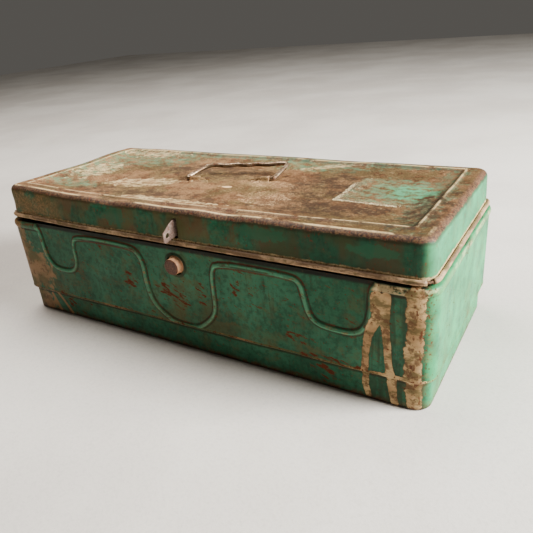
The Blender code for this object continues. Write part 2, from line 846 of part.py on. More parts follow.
def hinge_places():
    for side, x in HINGE_XS.items():
        for number, shift in ((1, -HINGE_RIVET_X), (2, HINGE_RIVET_X)):
            yield side, number, x + shift


def cut_rivet_holes(shell, which, y, height, pivot):
    for side, number, x in hinge_places():
        hole = cylinder(
            f"{which}_rivet_hole_{side}_{number}",
            None,
            RIVET_RADIUS + GAP,
            (x, y - 5 * MM, height),
            (x, y + 5 * MM, height),
            pivot,
            SMALL_ROUND_STEPS,
        )
        combine(shell, hole)


def make_knuckle(name, finish, x_from, x_to, pivot):
    y = BACK + PIN_OUTSET
    return cylinder(
        name, finish, KNUCKLE_RADIUS, (x_from, y, PIN_HEIGHT), (x_to, y, PIN_HEIGHT), pivot, 16
    )


def bore_knuckles(leaf, x, pivot):
    y = BACK + PIN_OUTSET
    reach = HINGE_WIDTH / 2 + 2 * MM
    bore = cylinder(
        leaf.name + "_bore",
        None,
        KNUCKLE_BORE,
        (x - reach, y, PIN_HEIGHT),
        (x + reach, y, PIN_HEIGHT),
        pivot,
        16,
    )
    combine(leaf, bore)


def make_body_leaf(side, x):
    """The lower leaf: riveted to the back wall, joggled over the bead, with two end knuckles."""
    name = f"hinge_{side}_body_leaf"
    half = HINGE_WIDTH / 2
    flat = BACK + GAP + LEAF_SHEET / 2
    proud = BACK + BEAD_PROUD + GAP + LEAF_SHEET / 2
    section = [
        (flat, 80 * MM),
        (flat, 100 * MM),
        (proud, 103 * MM),
        (proud, PIN_HEIGHT - KNUCKLE_RADIUS - 0.5 * MM),
    ]
    leaf = folded_strip(name, section, LEAF_SHEET, x - half, x + half, "hinge_steel")
    ends = ((x - half, x - MIDDLE_KNUCKLE / 2 - GAP), (x + MIDDLE_KNUCKLE / 2 + GAP, x + half))
    for number, (left, right) in enumerate(ends, 1):
        tail = [(proud, 105 * MM), (proud, PIN_HEIGHT)]
        tab = folded_strip(f"{name}_tab_{number}", tail, LEAF_SHEET, left, right, None)
        combine(leaf, tab, "UNION")
        combine(leaf, make_knuckle(f"{name}_knuckle_{number}", None, left, right, BOX), "UNION")
    bore_knuckles(leaf, x, BOX)
    for shift in (-HINGE_RIVET_X, HINGE_RIVET_X):
        cut_leaf_hole(leaf, x + shift, BACK, BODY_RIVET_HEIGHT, BOX)
    return leaf


def make_lid_leaf(side, x):
    """The upper leaf: riveted to the lid's back skirt, stepped out over the curl, one knuckle."""
    name = f"hinge_{side}_lid_leaf"
    half = HINGE_WIDTH / 2
    skirt = BACK - 4.1 * MM + GAP + LEAF_SHEET / 2
    over_curl = BACK + 1.1 * MM
    section = [
        (skirt - 0.2 * MM, 138 * MM),
        (skirt, 120 * MM),
        (over_curl, 117 * MM),
        (over_curl, 115 * MM),
    ]
    leaf = folded_strip(name, section, LEAF_SHEET, x - half, x + half, "hinge_steel", LID_AXIS)
    left = x - MIDDLE_KNUCKLE / 2 + GAP / 2
    right = x + MIDDLE_KNUCKLE / 2 - GAP / 2
    tail = [(over_curl, 116 * MM), (over_curl, PIN_HEIGHT + 0.5 * MM)]
    tab = folded_strip(f"{name}_tab", tail, LEAF_SHEET, left, right, None, LID_AXIS)
    combine(leaf, tab, "UNION")
    combine(leaf, make_knuckle(f"{name}_knuckle", None, left, right, LID_AXIS), "UNION")
    bore_knuckles(leaf, x, LID_AXIS)
    for shift in (-HINGE_RIVET_X, HINGE_RIVET_X):
        cut_leaf_hole(leaf, x + shift, skirt, LID_RIVET_HEIGHT, LID_AXIS)
    return leaf


def cut_leaf_hole(leaf, x, y, height, pivot):
    hole = cylinder(
        f"{leaf.name}_hole_{'left' if x < leaf_middle(leaf) else 'right'}",
        None,
        RIVET_RADIUS + GAP,
        (x, y - 4 * MM, height),
        (x, y + 5 * MM, height),
        pivot,
        SMALL_ROUND_STEPS,
    )
    combine(leaf, hole)


def leaf_middle(leaf):
    xs = [vert.co.x for vert in leaf.data.vertices]
    return (min(xs) + max(xs)) / 2


def make_hinge_pin(side, x):
    half = HINGE_WIDTH / 2 + 0.4 * MM
    y = BACK + PIN_OUTSET
    return cylinder(
        f"hinge_{side}_pin",
        "rivet_steel",
        PIN_RADIUS,
        (x - half, y, PIN_HEIGHT),
        (x + half, y, PIN_HEIGHT),
    )


def make_hinge_rivets():
    for side, number, x in hinge_places():
        rivet(
            f"hinge_{side}_body_rivet_{number}",
            (x, BACK, BODY_RIVET_HEIGHT),
            (0, 1, 0),
            RIVET_RADIUS,
            RIVET_HEAD_RADIUS,
            LEAF_SHEET + 2 * GAP,
            SHEET + GAP,
            BOX,
        )
        rivet(
            f"hinge_{side}_lid_rivet_{number}",
            (x, BACK - 4.25 * MM, LID_RIVET_HEIGHT),
            (0, 1, 0),
            RIVET_RADIUS,
            RIVET_HEAD_RADIUS,
            LEAF_SHEET + 2 * GAP + 0.1 * MM,
            SHEET + GAP,
            LID_AXIS,
        )


make_body_walls()
make_bottom_pan()
make_lid()
make_lid_edge_wire()
make_handle()
make_spring_bracket()
make_catch_spring()
make_spring_rivets()
make_push_button()
make_button_washer()
for hinge_side, hinge_x in HINGE_XS.items():
    make_body_leaf(hinge_side, hinge_x)
    make_lid_leaf(hinge_side, hinge_x)
    make_hinge_pin(hinge_side, hinge_x)
make_hinge_rivets()
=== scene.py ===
"""The looks of a worn, pressed-steel lunch box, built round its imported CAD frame.

Shapes are worked out in millimetres, with X along the box, Z up and the middle of the body's
plan at X = Y = 0, and each piece is then set in the frame's own place.
"""

import json
import math
from functools import reduce
from operator import or_

import bmesh
import bpy
import numpy as np
from mathutils import Matrix, Vector, noise


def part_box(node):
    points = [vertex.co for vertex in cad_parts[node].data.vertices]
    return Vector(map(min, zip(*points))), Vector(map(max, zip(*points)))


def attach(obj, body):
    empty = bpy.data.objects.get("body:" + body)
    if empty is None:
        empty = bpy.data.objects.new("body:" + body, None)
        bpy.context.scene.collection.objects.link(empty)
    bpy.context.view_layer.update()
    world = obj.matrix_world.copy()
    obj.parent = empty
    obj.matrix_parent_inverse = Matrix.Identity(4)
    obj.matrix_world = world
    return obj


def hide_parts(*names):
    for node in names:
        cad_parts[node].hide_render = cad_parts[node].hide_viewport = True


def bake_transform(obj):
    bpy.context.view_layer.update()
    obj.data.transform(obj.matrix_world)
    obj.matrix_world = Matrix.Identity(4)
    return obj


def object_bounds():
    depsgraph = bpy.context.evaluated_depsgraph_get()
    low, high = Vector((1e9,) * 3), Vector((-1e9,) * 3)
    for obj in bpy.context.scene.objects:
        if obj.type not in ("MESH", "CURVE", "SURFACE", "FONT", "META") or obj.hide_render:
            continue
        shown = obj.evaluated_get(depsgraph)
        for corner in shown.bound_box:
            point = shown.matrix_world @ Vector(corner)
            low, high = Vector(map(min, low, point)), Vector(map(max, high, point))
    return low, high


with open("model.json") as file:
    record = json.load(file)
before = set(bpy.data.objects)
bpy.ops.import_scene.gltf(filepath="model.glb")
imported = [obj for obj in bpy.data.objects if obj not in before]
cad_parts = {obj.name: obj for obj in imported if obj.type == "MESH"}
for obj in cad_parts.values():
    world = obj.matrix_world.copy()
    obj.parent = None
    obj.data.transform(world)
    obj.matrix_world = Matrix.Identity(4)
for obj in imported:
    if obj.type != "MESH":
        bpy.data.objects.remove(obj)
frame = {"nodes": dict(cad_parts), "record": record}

MM = 0.001

cad_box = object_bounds()
lid_low, lid_high = (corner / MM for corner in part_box("lid_top"))
wall_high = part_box("body_right_wall")[1] / MM

# The wrapped wall
BEAD_PROUD = 1.4
CORNER_RADIUS = 16
SMALLEST_CORNER = 3
SHEET = 0.9
BAND_INSET = 3.4
FOOT_FLANGE = 7.5
BEAD_BOTTOM = 102.5
BEAD_TOP = 109.5
RIM_INSET = 6.2
EMBOSS_DEPTH = 0.9
EMBOSS_BEAD = 2.1
EMBOSS_HALF = 3.1
DENT = 0.45

# The lid
ROLL_OUTSET = -2.4
ROLL_HEIGHT = 113.6
ROLL_RADIUS = 1.3
SKIRT_INSET = 4.4
SKIRT_TOP = 138.5
ROUNDING = 6.5
LID_HEIGHT = SKIRT_TOP + ROUNDING
LID_BEAD_INSET = 23
LID_BEAD_HALF = 4.4
LID_BEAD_RISE = 1.7
LID_PANEL = 141.2
LID_PANEL_INSET = 45
CORNER_LIFT = 2.6
NOTCH_HALF = 1

# Sizes that the frame gives: the wall's bead stands proud of its length, and the lid's top is
# narrower than the wall by the skirt's lean
BODY_Y = (lid_low.y + lid_high.y) / 2
LENGTH = 2 * (wall_high.x - BEAD_PROUD)
WIDTH = lid_high.y - lid_low.y + 2 * SKIRT_INSET
WALL_TOP = wall_high.z
FRONT = -WIDTH / 2

# The catch; the slot is its left, right, bottom and top
SLOT = (0.9, 5.0, 117.6, 136.8)
BUTTON = Vector((-1, FRONT, 92))
BUTTON_RADIUS = 7.8
BUTTON_PROUD = 6
BUTTON_HOLE = 9.2
LEAF_Y = FRONT + 7.9
LEAF_HALF = 8
LEAF_FOOT = 36
LEAF_SHEET = 0.8
TONGUE_X = 2
TONGUE_FOOT = 119.2
TONGUE_TOP = 135.2
TONGUE_REACH = 11.7
TONGUE_SHEET = 1.2

# The handle
HANDLE_MIDDLE = Vector((-4.6, 4.3, 143.6))
HANDLE_TURN = math.radians(12.4)
HANDLE_LEAN = math.radians(14)
WIRE_RADIUS = 2.2
FOOT_SPAN = 96.2
FOOT_LENGTH = 13.4
GRIP_WAVES = 4
GRIP_WAVE_HEIGHT = 1.6
BOSS_INSET = 4.3
BOSS_LENGTH = 21
BOSS_STRAIGHT = 9
GRIP_LEFT = Vector((-34.1, 25.9, 0))
GRIP_RIGHT = Vector((55.5, 30.3, 0))

# The camera, in millimetres and degrees
CAMERA_PLACE = (317.5, -438.9, 295)
CAMERA_TURN = 32.9
CAMERA_TILT = 90 - 24.95
CAMERA_ROLL = -5.32
CAMERA_LENS = 37.01

# The room's light, and each lamp's name, place, aim, width, power and colour
ROOM_COLOUR = (0.95, 0.90, 0.82, 1)
ROOM_STRENGTH = 0.1
LAMPS = (
    ("window", (1.8, 0.36, 0.88), (0, 0, 0.08), 1.0, 240, (0.97, 1, 0.97)),
    ("sky", (-0.75, 0.35, 1.9), (-0.05, 0, 0.1), 1.5, 66, (1, 0.96, 0.91)),
)


# Shader tools ----------------------------------------------------------------------------


class Value:
    """A shader socket that takes part in Python arithmetic."""

    def __init__(self, shader, socket):
        self.shader = shader
        self.socket = socket

    def math(self, operation, *others):
        return self.shader.node("ShaderNodeMath", {"operation": operation}, [self, *others])

    def __add__(self, other):
        return self.math("ADD", other)

    __radd__ = __add__

    def __sub__(self, other):
        return self.math("SUBTRACT", other)

    def __rsub__(self, other):
        return self.shader.node("ShaderNodeMath", {"operation": "SUBTRACT"}, [other, self])

    def __mul__(self, other):
        return self.math("MULTIPLY", other)

    __rmul__ = __mul__

    def __truediv__(self, other):
        return self.math("DIVIDE", other)

    def __pow__(self, other):
        return self.math("POWER", other)

    def __abs__(self):
        return self.math("ABSOLUTE")

    def __or__(self, other):
        return self.math("MAXIMUM", other)

    def __and__(self, other):
        return self.math("MINIMUM", other)

    def rise(self, start, end):
        """0 below start and 1 above end, with a smooth step between; start may be the larger."""
        swapped = start > end
        low, high = (end, start) if swapped else (start, end)
        settings = {"interpolation_type": "SMOOTHSTEP"}
        step = self.shader.node("ShaderNodeMapRange", settings, [self, low, high, 0, 1])
        return 1 - step if swapped else step

    def band(self, start, end, soft):
        """1 between start and end and 0 beyond them, with steps of twice soft."""
        return self.rise(start - soft, start + soft) * self.rise(end + soft, end - soft)

    def coat(self, colour, share):
        """This colour with another laid over it, by share."""
        return self.shader.over(self, colour, share)

    def shade(self, share, strength):
        """This colour multiplied by strength where share is 1."""
        settings = {"data_type": "RGBA", "blend_type": "MULTIPLY"}
        dark = (strength, strength, strength, 1)
        return self.shader.node("ShaderNodeMix", settings, {0: share, 6: self, 7: dark}, 2)


class Shader:
    """One material, whose nodes are added by the lines that need them."""

    def __init__(self, name, roughness=0.5, metallic=0.0, gloss=0.3):
        self.material = bpy.data.materials.new(name)
        self.material.use_nodes = True
        self.tree = self.material.node_tree
        self.surface = self.tree.nodes["Principled BSDF"]
        self.surface.inputs["Roughness"].default_value = roughness
        self.surface.inputs["Metallic"].default_value = metallic
        self.surface.inputs["Specular IOR Level"].default_value = gloss
        place = self.node("ShaderNodeTexCoord", {}, {}, "Object")
        self.place = self.vector("SCALE", place, scale=1 / MM)
        split = self.node("ShaderNodeSeparateXYZ", {}, [self.place], None)
        self.x, self.y, self.z = (Value(self, split.outputs[axis]) for axis in "XYZ")
        self.ragged = None  # the noise that roughens the edges of patches and trails

    def node(self, kind, settings, inputs, output=0):
        made = self.tree.nodes.new(kind)
        for name, value in settings.items():
            setattr(made, name, value)
        pairs = inputs.items() if isinstance(inputs, dict) else enumerate(inputs)
        for key, value in pairs:
            if isinstance(value, Value):
                self.tree.links.new(value.socket, made.inputs[key])
            else:
                made.inputs[key].default_value = value
        return made if output is None else Value(self, made.outputs[output])

    def vector(self, operation, first, second=None, scale=None):
        inputs = {0: first}
        if second is not None:
            inputs[1] = second
        if scale is not None:
            inputs["Scale"] = scale
        return self.node("ShaderNodeVectorMath", {"operation": operation}, inputs)

    def attribute(self, name):
        return self.node("ShaderNodeAttribute", {"attribute_name": name}, {}, "Fac")

    def noise(self, size, detail=4, rough=0.55, stretch=(1, 1, 1), seed=0):
        """Noise whose blotches are about size millimetres, longer along a stretched axis."""
        scale = tuple(1 / (size * share) for share in stretch)
        place = self.vector("MULTIPLY_ADD", self.place, scale)
        self.tree.nodes[-1].inputs[2].default_value = (seed * 7.3, seed * 3.1, seed * 5.7)
        inputs = {"Vector": place, "Scale": 1, "Detail": detail, "Roughness": rough}
        return self.node("ShaderNodeTexNoise", {}, inputs)

    def over(self, under, colour, share):
        """The colour laid over what is under it, by share."""
        settings = {"data_type": "RGBA"}
        return self.node("ShaderNodeMix", settings, {0: share, 6: under, 7: colour}, 2)

    def patch(self, across, up, centre, size, lean=0, ragged=0.5):
        """A ragged-edged blotch: centre and half sizes in millimetres, lean in degrees."""
        turn = math.radians(lean)
        right, rise = across - centre[0], up - centre[1]
        along = (right * math.cos(turn) + rise * math.sin(turn)) / size[0]
        over = (rise * math.cos(turn) - right * math.sin(turn)) / size[1]
        reach = (along * along + over * over) ** 0.5 + (self.ragged - 0.5) * (2.4 * ragged)
        return reach.rise(1.15, 0.85)

    def patches(self, across, up, places, ragged=0.5):
        """Several blotches, each given as a centre, half sizes and a lean."""
        return reduce(or_, (self.patch(across, up, *place, ragged) for place in places))

    def trail(self, across, up, line, ragged=0.5):
        """A ragged-edged run of paint along a line of (across, up, half width) points."""
        nearest = None
        for (left, low, width), (right, high, next_width) in zip(line, line[1:]):
            span, climb = right - left, high - low
            length = span * span + climb * climb
            share = (across - left) * (span / length) + (up - low) * (climb / length)
            share = (share | 0) & 1
            aside = across - left - share * span
            above = up - low - share * climb
            reach = (aside * aside + above * above) ** 0.5
            reach = reach / (share * (next_width - width) + width)
            nearest = reach if nearest is None else nearest & reach
        return (nearest + (self.ragged - 0.5) * (2.4 * ragged)).rise(1.15, 0.9)

    def trails(self, across, up, lines):
        """Several runs, each given as its line and how ragged its edges are."""
        return reduce(or_, (self.trail(across, up, line, ragged) for line, ragged in lines))

    def scuffs(self, across, up, size, lean, seed, long=7):
        """Noise drawn out into short scratches that all lean the same way."""
        turn = math.radians(lean)
        ahead = (across * math.cos(turn) + up * math.sin(turn)) / (size * long)
        aside = (up * math.cos(turn) - across * math.sin(turn)) / size
        place = self.node("ShaderNodeCombineXYZ", {}, [ahead, aside, seed])
        inputs = {"Vector": place, "Scale": 1, "Detail": 5, "Roughness": 0.6}
        return self.node("ShaderNodeTexNoise", {}, inputs)

    def finish(self, colour, roughness=None, height=None, bump=0.4, depth=0.35, metallic=None):
        feeds = {"Base Color": colour, "Roughness": roughness, "Metallic": metallic}
        for name, value in feeds.items():
            if isinstance(value, Value):
                self.tree.links.new(value.socket, self.surface.inputs[name])
        if height is not None:
            inputs = {"Strength": bump, "Distance": depth * MM, "Height": height}
            normal = self.node("ShaderNodeBump", {}, inputs)
            self.tree.links.new(normal.socket, self.surface.inputs["Normal"])
        return self.material


def tone(red, green, blue):
    """A colour given in the 0 to 255 steps of a paint chart."""
    steps = (channel / 255 for channel in (red, green, blue))
    linear = [s / 12.92 if s < 0.04 else ((s + 0.055) / 1.055) ** 2.4 for s in steps]
    return (*linear, 1)


JADE = tone(37, 84, 60)
JADE_DEEP = tone(23, 49, 36)
JADE_PALE = tone(74, 132, 102)
MINT = tone(98, 122, 92)
CREAM_AND_HIGHLIGHT = tone(206, 178, 132)
PRIMER = tone(84, 38, 22)
RUST = tone(92, 47, 26)
DARK_RUST_AND_SHADE = tone(38, 26, 16)
GRIME_AND_SHADE = tone(36, 32, 18)
OLIVE = tone(82, 72, 40)
TAN = tone(138, 102, 68)
BROWN = tone(90, 60, 38)
BARE = tone(190, 158, 122)


# Where the wear is ------------------------------------------------------------------------

# Each blotch is a centre, half sizes and a lean, in millimetres and degrees
FRONT_GRIME = (
    ((0, 52), (44, 26), 0), ((-176, 46), (40, 18), -8), ((70, 36), (70, 9), 0),
)
FRONT_KNOCKS = (
    ((-12, 58), (20, 13), -20), ((24, 66), (7, 12), 0), ((124, 45), (16, 5), 0),
    ((148, 13), (14, 9), -30), ((-64, 68), (10, 8), -34), ((-165, 18), (22, 8), -40),
    ((64, 84), (5, 12), 0), ((150, 30), (30, 4), 0),
)
LEFT_CORNER_WEAR = (
    ((-226, 62), (18, 52), 0), ((-206, 52), (22, 22), 30), ((-214, 12), (18, 10), 0),
)
MINT_LEFT = (
    ((-196, 26), (30, 60), 0), ((-150, 60), (60, 30), 8), ((-60, 84), (110, 9), 0),
    ((110, 86), (100, 9), 0), ((174, 18), (38, 30), 0), ((204, 0), (16, 84), 0),
    ((-178, -52), (38, 14), 0), ((60, 70), (60, 14), 0),
)
TOP_STAINS = (
    ((124, -44), (70, 22), 12), ((100, 14), (34, 40), 0), ((-40, 30), (70, 22), 0),
    ((-60, -60), (90, 14), 0), ((206, -30), (20, 60), 0),
)
TOP_SCUFFS = (
    ((-98, -26), (42, 15), 14), ((-186, -2), (22, 34), 0), ((-170, 78), (50, 14), 0),
    ((84, 74), (46, 6), 26), ((-30, -70), (60, 6), 0),
)
TOP_RUBS = (
    ((62, -30), (24, 12), 8), ((64, -47), (24, 6), 0), ((40, 4), (30, 10), 0),
)
SKIRT_CLEAN = (
    ((-72, 130), (15, 8), 0), ((90, 133), (24, 6), 0), ((188, 132), (22, 5), 0),
)

# Each run is a line of (across, up, half width) points, and how ragged its edges are
LEFT_DRIPS = (
    (((-188, 26, 1.6), (-180, 16, 1.6), (-171, 3, 2)), 0.4),
    (((-198, 22, 2), (-190, 4, 2.4)), 0.4),
)
CREAM_RUNS = (
    (
        (
            (192, 98, 5), (192, 80, 4.2), (185, 64, 3.4), (182.5, 46, 2.6), (182, 34, 3.0),
            (181, 14, 2.8), (184, 4, 2.4),
        ),
        0.42,
    ),
    (
        (
            (199, 99, 4), (198, 78, 3.6), (200, 60, 3.0), (201, 40, 2.8), (203, 27, 4.4),
            (204, 12, 3.2), (206, 3, 3),
        ),
        0.42,
    ),
    (
        (
            (221, 104, 7), (221, 72, 6.2), (220, 44, 6.6), (220, 18, 6.2), (221, 4, 5),
        ),
        0.5,
    ),
)

# The lost label on the lid's top, and the outline that it left
LABEL_X, LABEL_Y = (127, 200), (-20, 48)
OUTLINE_X, OUTLINE_Y = (122.5, 202), (-24, 51)


# Finishes --------------------------------------------------------------------------------


def weathered_jade(shader):
    """Jade paint with faded areas, grime streaks and a fine mottle."""
    faded = shader.noise(70, detail=3, seed=1).rise(0.4, 0.66)
    deep = shader.noise(45, seed=2).rise(0.5, 0.72)
    mottle = shader.noise(5, detail=5, rough=0.65, seed=3)
    colour = shader.over(JADE, JADE_PALE, faded * 0.35)
    colour = colour.coat(JADE_DEEP, deep * 0.6)
    colour = colour.shade(mottle.rise(0.42, 0.66), 0.6)
    dust = shader.noise(16, detail=6, rough=0.7, seed=7).rise(0.5, 0.66)
    colour = colour.coat(OLIVE, dust * 0.4)
    streaks = shader.noise(2.6, detail=5, stretch=(1, 1, 16), seed=4).rise(0.5, 0.72)
    gate = shader.noise(38, detail=2, seed=5).rise(0.42, 0.62)
    return colour.coat(GRIME_AND_SHADE, streaks * gate * 0.5)


def flecks(shader, colour, near, seed, size=1.5, level=0.66):
    """Small chips down to the primer, thicker where near is high."""
    speck = shader.noise(size, detail=3, rough=0.6, seed=seed)
    edge = level - near * 0.16
    chips = (speck - edge).rise(0, 0.03)
    return colour.coat(PRIMER, chips * 0.9), chips


def body_paint():
    shader = Shader("body_paint", roughness=0.5, gloss=0.1)
    x, y, z = shader.x, shader.y, shader.z
    shader.ragged = shader.noise(7, detail=5, rough=0.65, seed=9)
    colour = weathered_jade(shader)
    emboss = shader.attribute("emboss")
    front = y.rise(-90, -94)
    broad = shader.noise(22, seed=11)
    rub = shader.noise(9, detail=5, rough=0.7, stretch=(2, 1.4, 1), seed=12)

    # Olive grime has settled over the lower half of the pressed middle and the left end
    film = shader.patches(x, z, FRONT_GRIME, ragged=1.0)
    colour = colour.coat(OLIVE, film * front * broad.rise(0.3, 0.6) * 0.5)

    # Painted shade darkens both feet of the pressed bead and a painted highlight lightens its
    # crest; the crest is also rubbed and the feet rusted in places
    aside = abs(emboss)
    foot = aside.band(2.2, 3.6, 0.7) * front
    crest = aside.rise(1.9, 0.9) * front
    # Painted shade along the bead's feet
    colour = colour.coat(GRIME_AND_SHADE, foot * broad.rise(0.2, 0.5) * 0.85)
    # Painted highlight: a paler green along the bead's crest
    colour = colour.coat(tone(104, 164, 128), crest * 0.4)
    colour = colour.coat(TAN, crest * rub.rise(0.54, 0.64) * 0.8)
    colour = colour.coat(PRIMER, crest * rub.rise(0.46, 0.38) * 0.7)
    colour = colour.coat(RUST, foot * rub.rise(0.56, 0.64) * 0.8)
    pressed = emboss.rise(-1, 1.5) * front

    # A painted shadow rings the button
    right, above = x - BUTTON.x, z - BUTTON.z
    away = (right * right + above * above) ** 0.5
    colour = colour.coat(GRIME_AND_SHADE, away.band(7, 12.6, 0.8) * front * 0.75)

    # The shoulder bead, the step and the bottom edge are worn and stained, and carry painted shade
    # under the bead, under the step and along the bottom, with the lid's painted shadow along the
    # top
    bead = z.band(103.4, 109.2, 0.5) * (1 - pressed)
    wide_rub = shader.noise(14, detail=6, rough=0.72, stretch=(3, 3, 1), seed=13)
    colour = colour.coat(BROWN, bead * wide_rub.rise(0.44, 0.54) * 0.85)
    colour = colour.coat(PRIMER, foot * (z - abs(x) * 0.02).rise(94, 98) * 0.6)
    colour = colour.coat(CREAM_AND_HIGHLIGHT, bead * wide_rub.rise(0.5, 0.42) * (1 - front) * 0.45)
    near_corner = x.rise(160, 200) * front
    colour = colour.coat(CREAM_AND_HIGHLIGHT, bead * near_corner * shader.ragged.rise(0.58, 0.46) * 0.8)
    # Painted shade under the shoulder bead
    gutter = z.band(100.2, 102.8, 0.8) * (1 - pressed)
    colour = colour.coat(DARK_RUST_AND_SHADE, gutter * broad.rise(0.25, 0.5) * 0.85)
    # Painted shadow of the lid: nearly black along the wall's top and down the pressed middle under
    # the roll, which shows as a black band when the lid is open
    middle = abs(x).rise(196, 184) * front
    shade = z.rise(109.2, 110.2) | middle * (z + (shader.ragged - 0.5) * 2).rise(105, 107.6)
    colour = colour.coat(tone(20, 16, 11), shade * 0.95)
    step = z.band(26.6, 30.2, 0.6)
    colour = colour.coat(OLIVE, step * wide_rub.rise(0.3, 0.5) * 0.9)
    colour = colour.coat(TAN, step * wide_rub.rise(0.5, 0.6) * 0.7)
    # Painted shade under the step
    under_step = z.band(23.4, 26, 0.8)
    colour = colour.coat(GRIME_AND_SHADE, under_step * 0.8)
    low = z.rise(8, 0.5)
    colour = colour.coat(RUST, low * shader.ragged.rise(0.4, 0.55) * 0.9)
    # Painted shade along the bottom edge
    colour = colour.coat(DARK_RUST_AND_SHADE, z.rise(4, 0.6) * 0.9)

    # Chips down to the primer gather in a few places on the front
    knocks = shader.patches(x, z, FRONT_KNOCKS, ragged=0.6) * front
    across = x + y * 0.8
    pits = shader.scuffs(across, z, 3, -20, 3.3, long=3.4) + knocks * 0.125
    lost = pits.rise(0.66, 0.68)
    colour = colour.coat(OLIVE, pits.rise(0.62, 0.66) * 0.5)
    colour = colour.coat(PRIMER, lost * 0.95)
    scratch = shader.scuffs(across, z, 0.7, 32, 8.1).rise(0.66, 0.73)
    colour = colour.coat(JADE_PALE, scratch * 0.5)

    # The left front corner is worn down to a tan undercoat
    left_wear = shader.patches(x, z, LEFT_CORNER_WEAR, ragged=0.9) * y.rise(-70, -84)
    tan = shader.over(TAN, OLIVE, broad.rise(0.4, 0.6) * 0.9)
    tan = tan.coat(BROWN, shader.ragged.rise(0.52, 0.62) * 0.8)
    colour = colour.coat(tan, left_wear * 0.85)
    drips = shader.trails(x, z, LEFT_DRIPS)
    colour = colour.coat(TAN, drips * front * 0.9)

    # Cream paint has run down the right front corner
    runs = shader.trails(x, z, CREAM_RUNS)
    runs = runs | shader.patch(x, z, (206, 29), (26, 2.4), 0, ragged=0.7)
    runs = runs * y.rise(-84, -88)
    old_cream = shader.over(tone(190, 158, 112), TAN, broad.rise(0.38, 0.58) * 0.7)
    old_cream = old_cream.coat(OLIVE, rub.rise(0.46, 0.6) * 0.8)
    old_cream = old_cream.coat(BROWN, shader.ragged.rise(0.5, 0.6) * 0.8)
    rusted = shader.noise(4.2, detail=5, rough=0.7, stretch=(1, 1, 2), seed=16).rise(0.56, 0.62)
    old_cream = old_cream.coat(PRIMER, rusted * x.rise(206, 216) * 0.85)
    colour = colour.coat(BROWN, runs.rise(0.05, 0.5) * 0.8)
    colour = colour.coat(old_cream, runs.rise(0.45, 0.95) * 0.95)
    stain = x.rise(174, 184) * front * shader.noise(5, 4, seed=17, stretch=(1, 1, 9))
    colour = colour.coat(GRIME_AND_SHADE, (1 - runs) * stain.rise(0.42, 0.6) * 0.5)

    # The other vertical corners are rubbed, and the ends carry upright grazes
    corner = (x.rise(223, 230) | x.rise(-223, -230)) * (y.rise(-89, -96) | y.rise(89, 96))
    colour = colour.coat(BROWN, corner * (1 - runs) * rub.rise(0.48, 0.58) * 0.8)
    graze = shader.scuffs(z, x + y, 1.5, 24, 5.7).rise(0.6, 0.66) * (1 - front)
    colour = colour.coat(RUST, graze * 0.8)
    spotted = shader.noise(3.4, detail=5, rough=0.7, stretch=(1, 1, 1.8), seed=19).rise(0.6, 0.64)
    colour = colour.coat(BROWN, spotted * (1 - front) * broad.rise(0.4, 0.6) * 0.8)
    # Painted highlight: both ends are painted a brighter green, as if lit
    end = abs(x).rise(226, 233)
    colour = colour.coat(tone(60, 168, 106), end * broad.rise(0.85, 0.15) * 0.6)
    end_film = shader.noise(30, stretch=(1, 1, 2), seed=18).rise(0.5, 0.66)
    colour = colour.coat(OLIVE, end_film * (1 - front) * z.rise(80, 10) * 0.45)

    near = (foot | bead * 0.4 | step | low | corner) * 0.6 + broad * 0.5
    colour, chips = flecks(shader, colour, near, seed=21, size=2.2, level=0.7)
    lost = lost | chips
    grain = shader.noise(1.3, detail=6, rough=0.6, seed=24)
    height = 1 - lost * 0.8 + grain * 0.12 + broad * 0.3 + runs * 0.6
    roughness = 0.36 + lost * 0.35 + broad * 0.2
    return shader.finish(colour, roughness, height, bump=0.5)


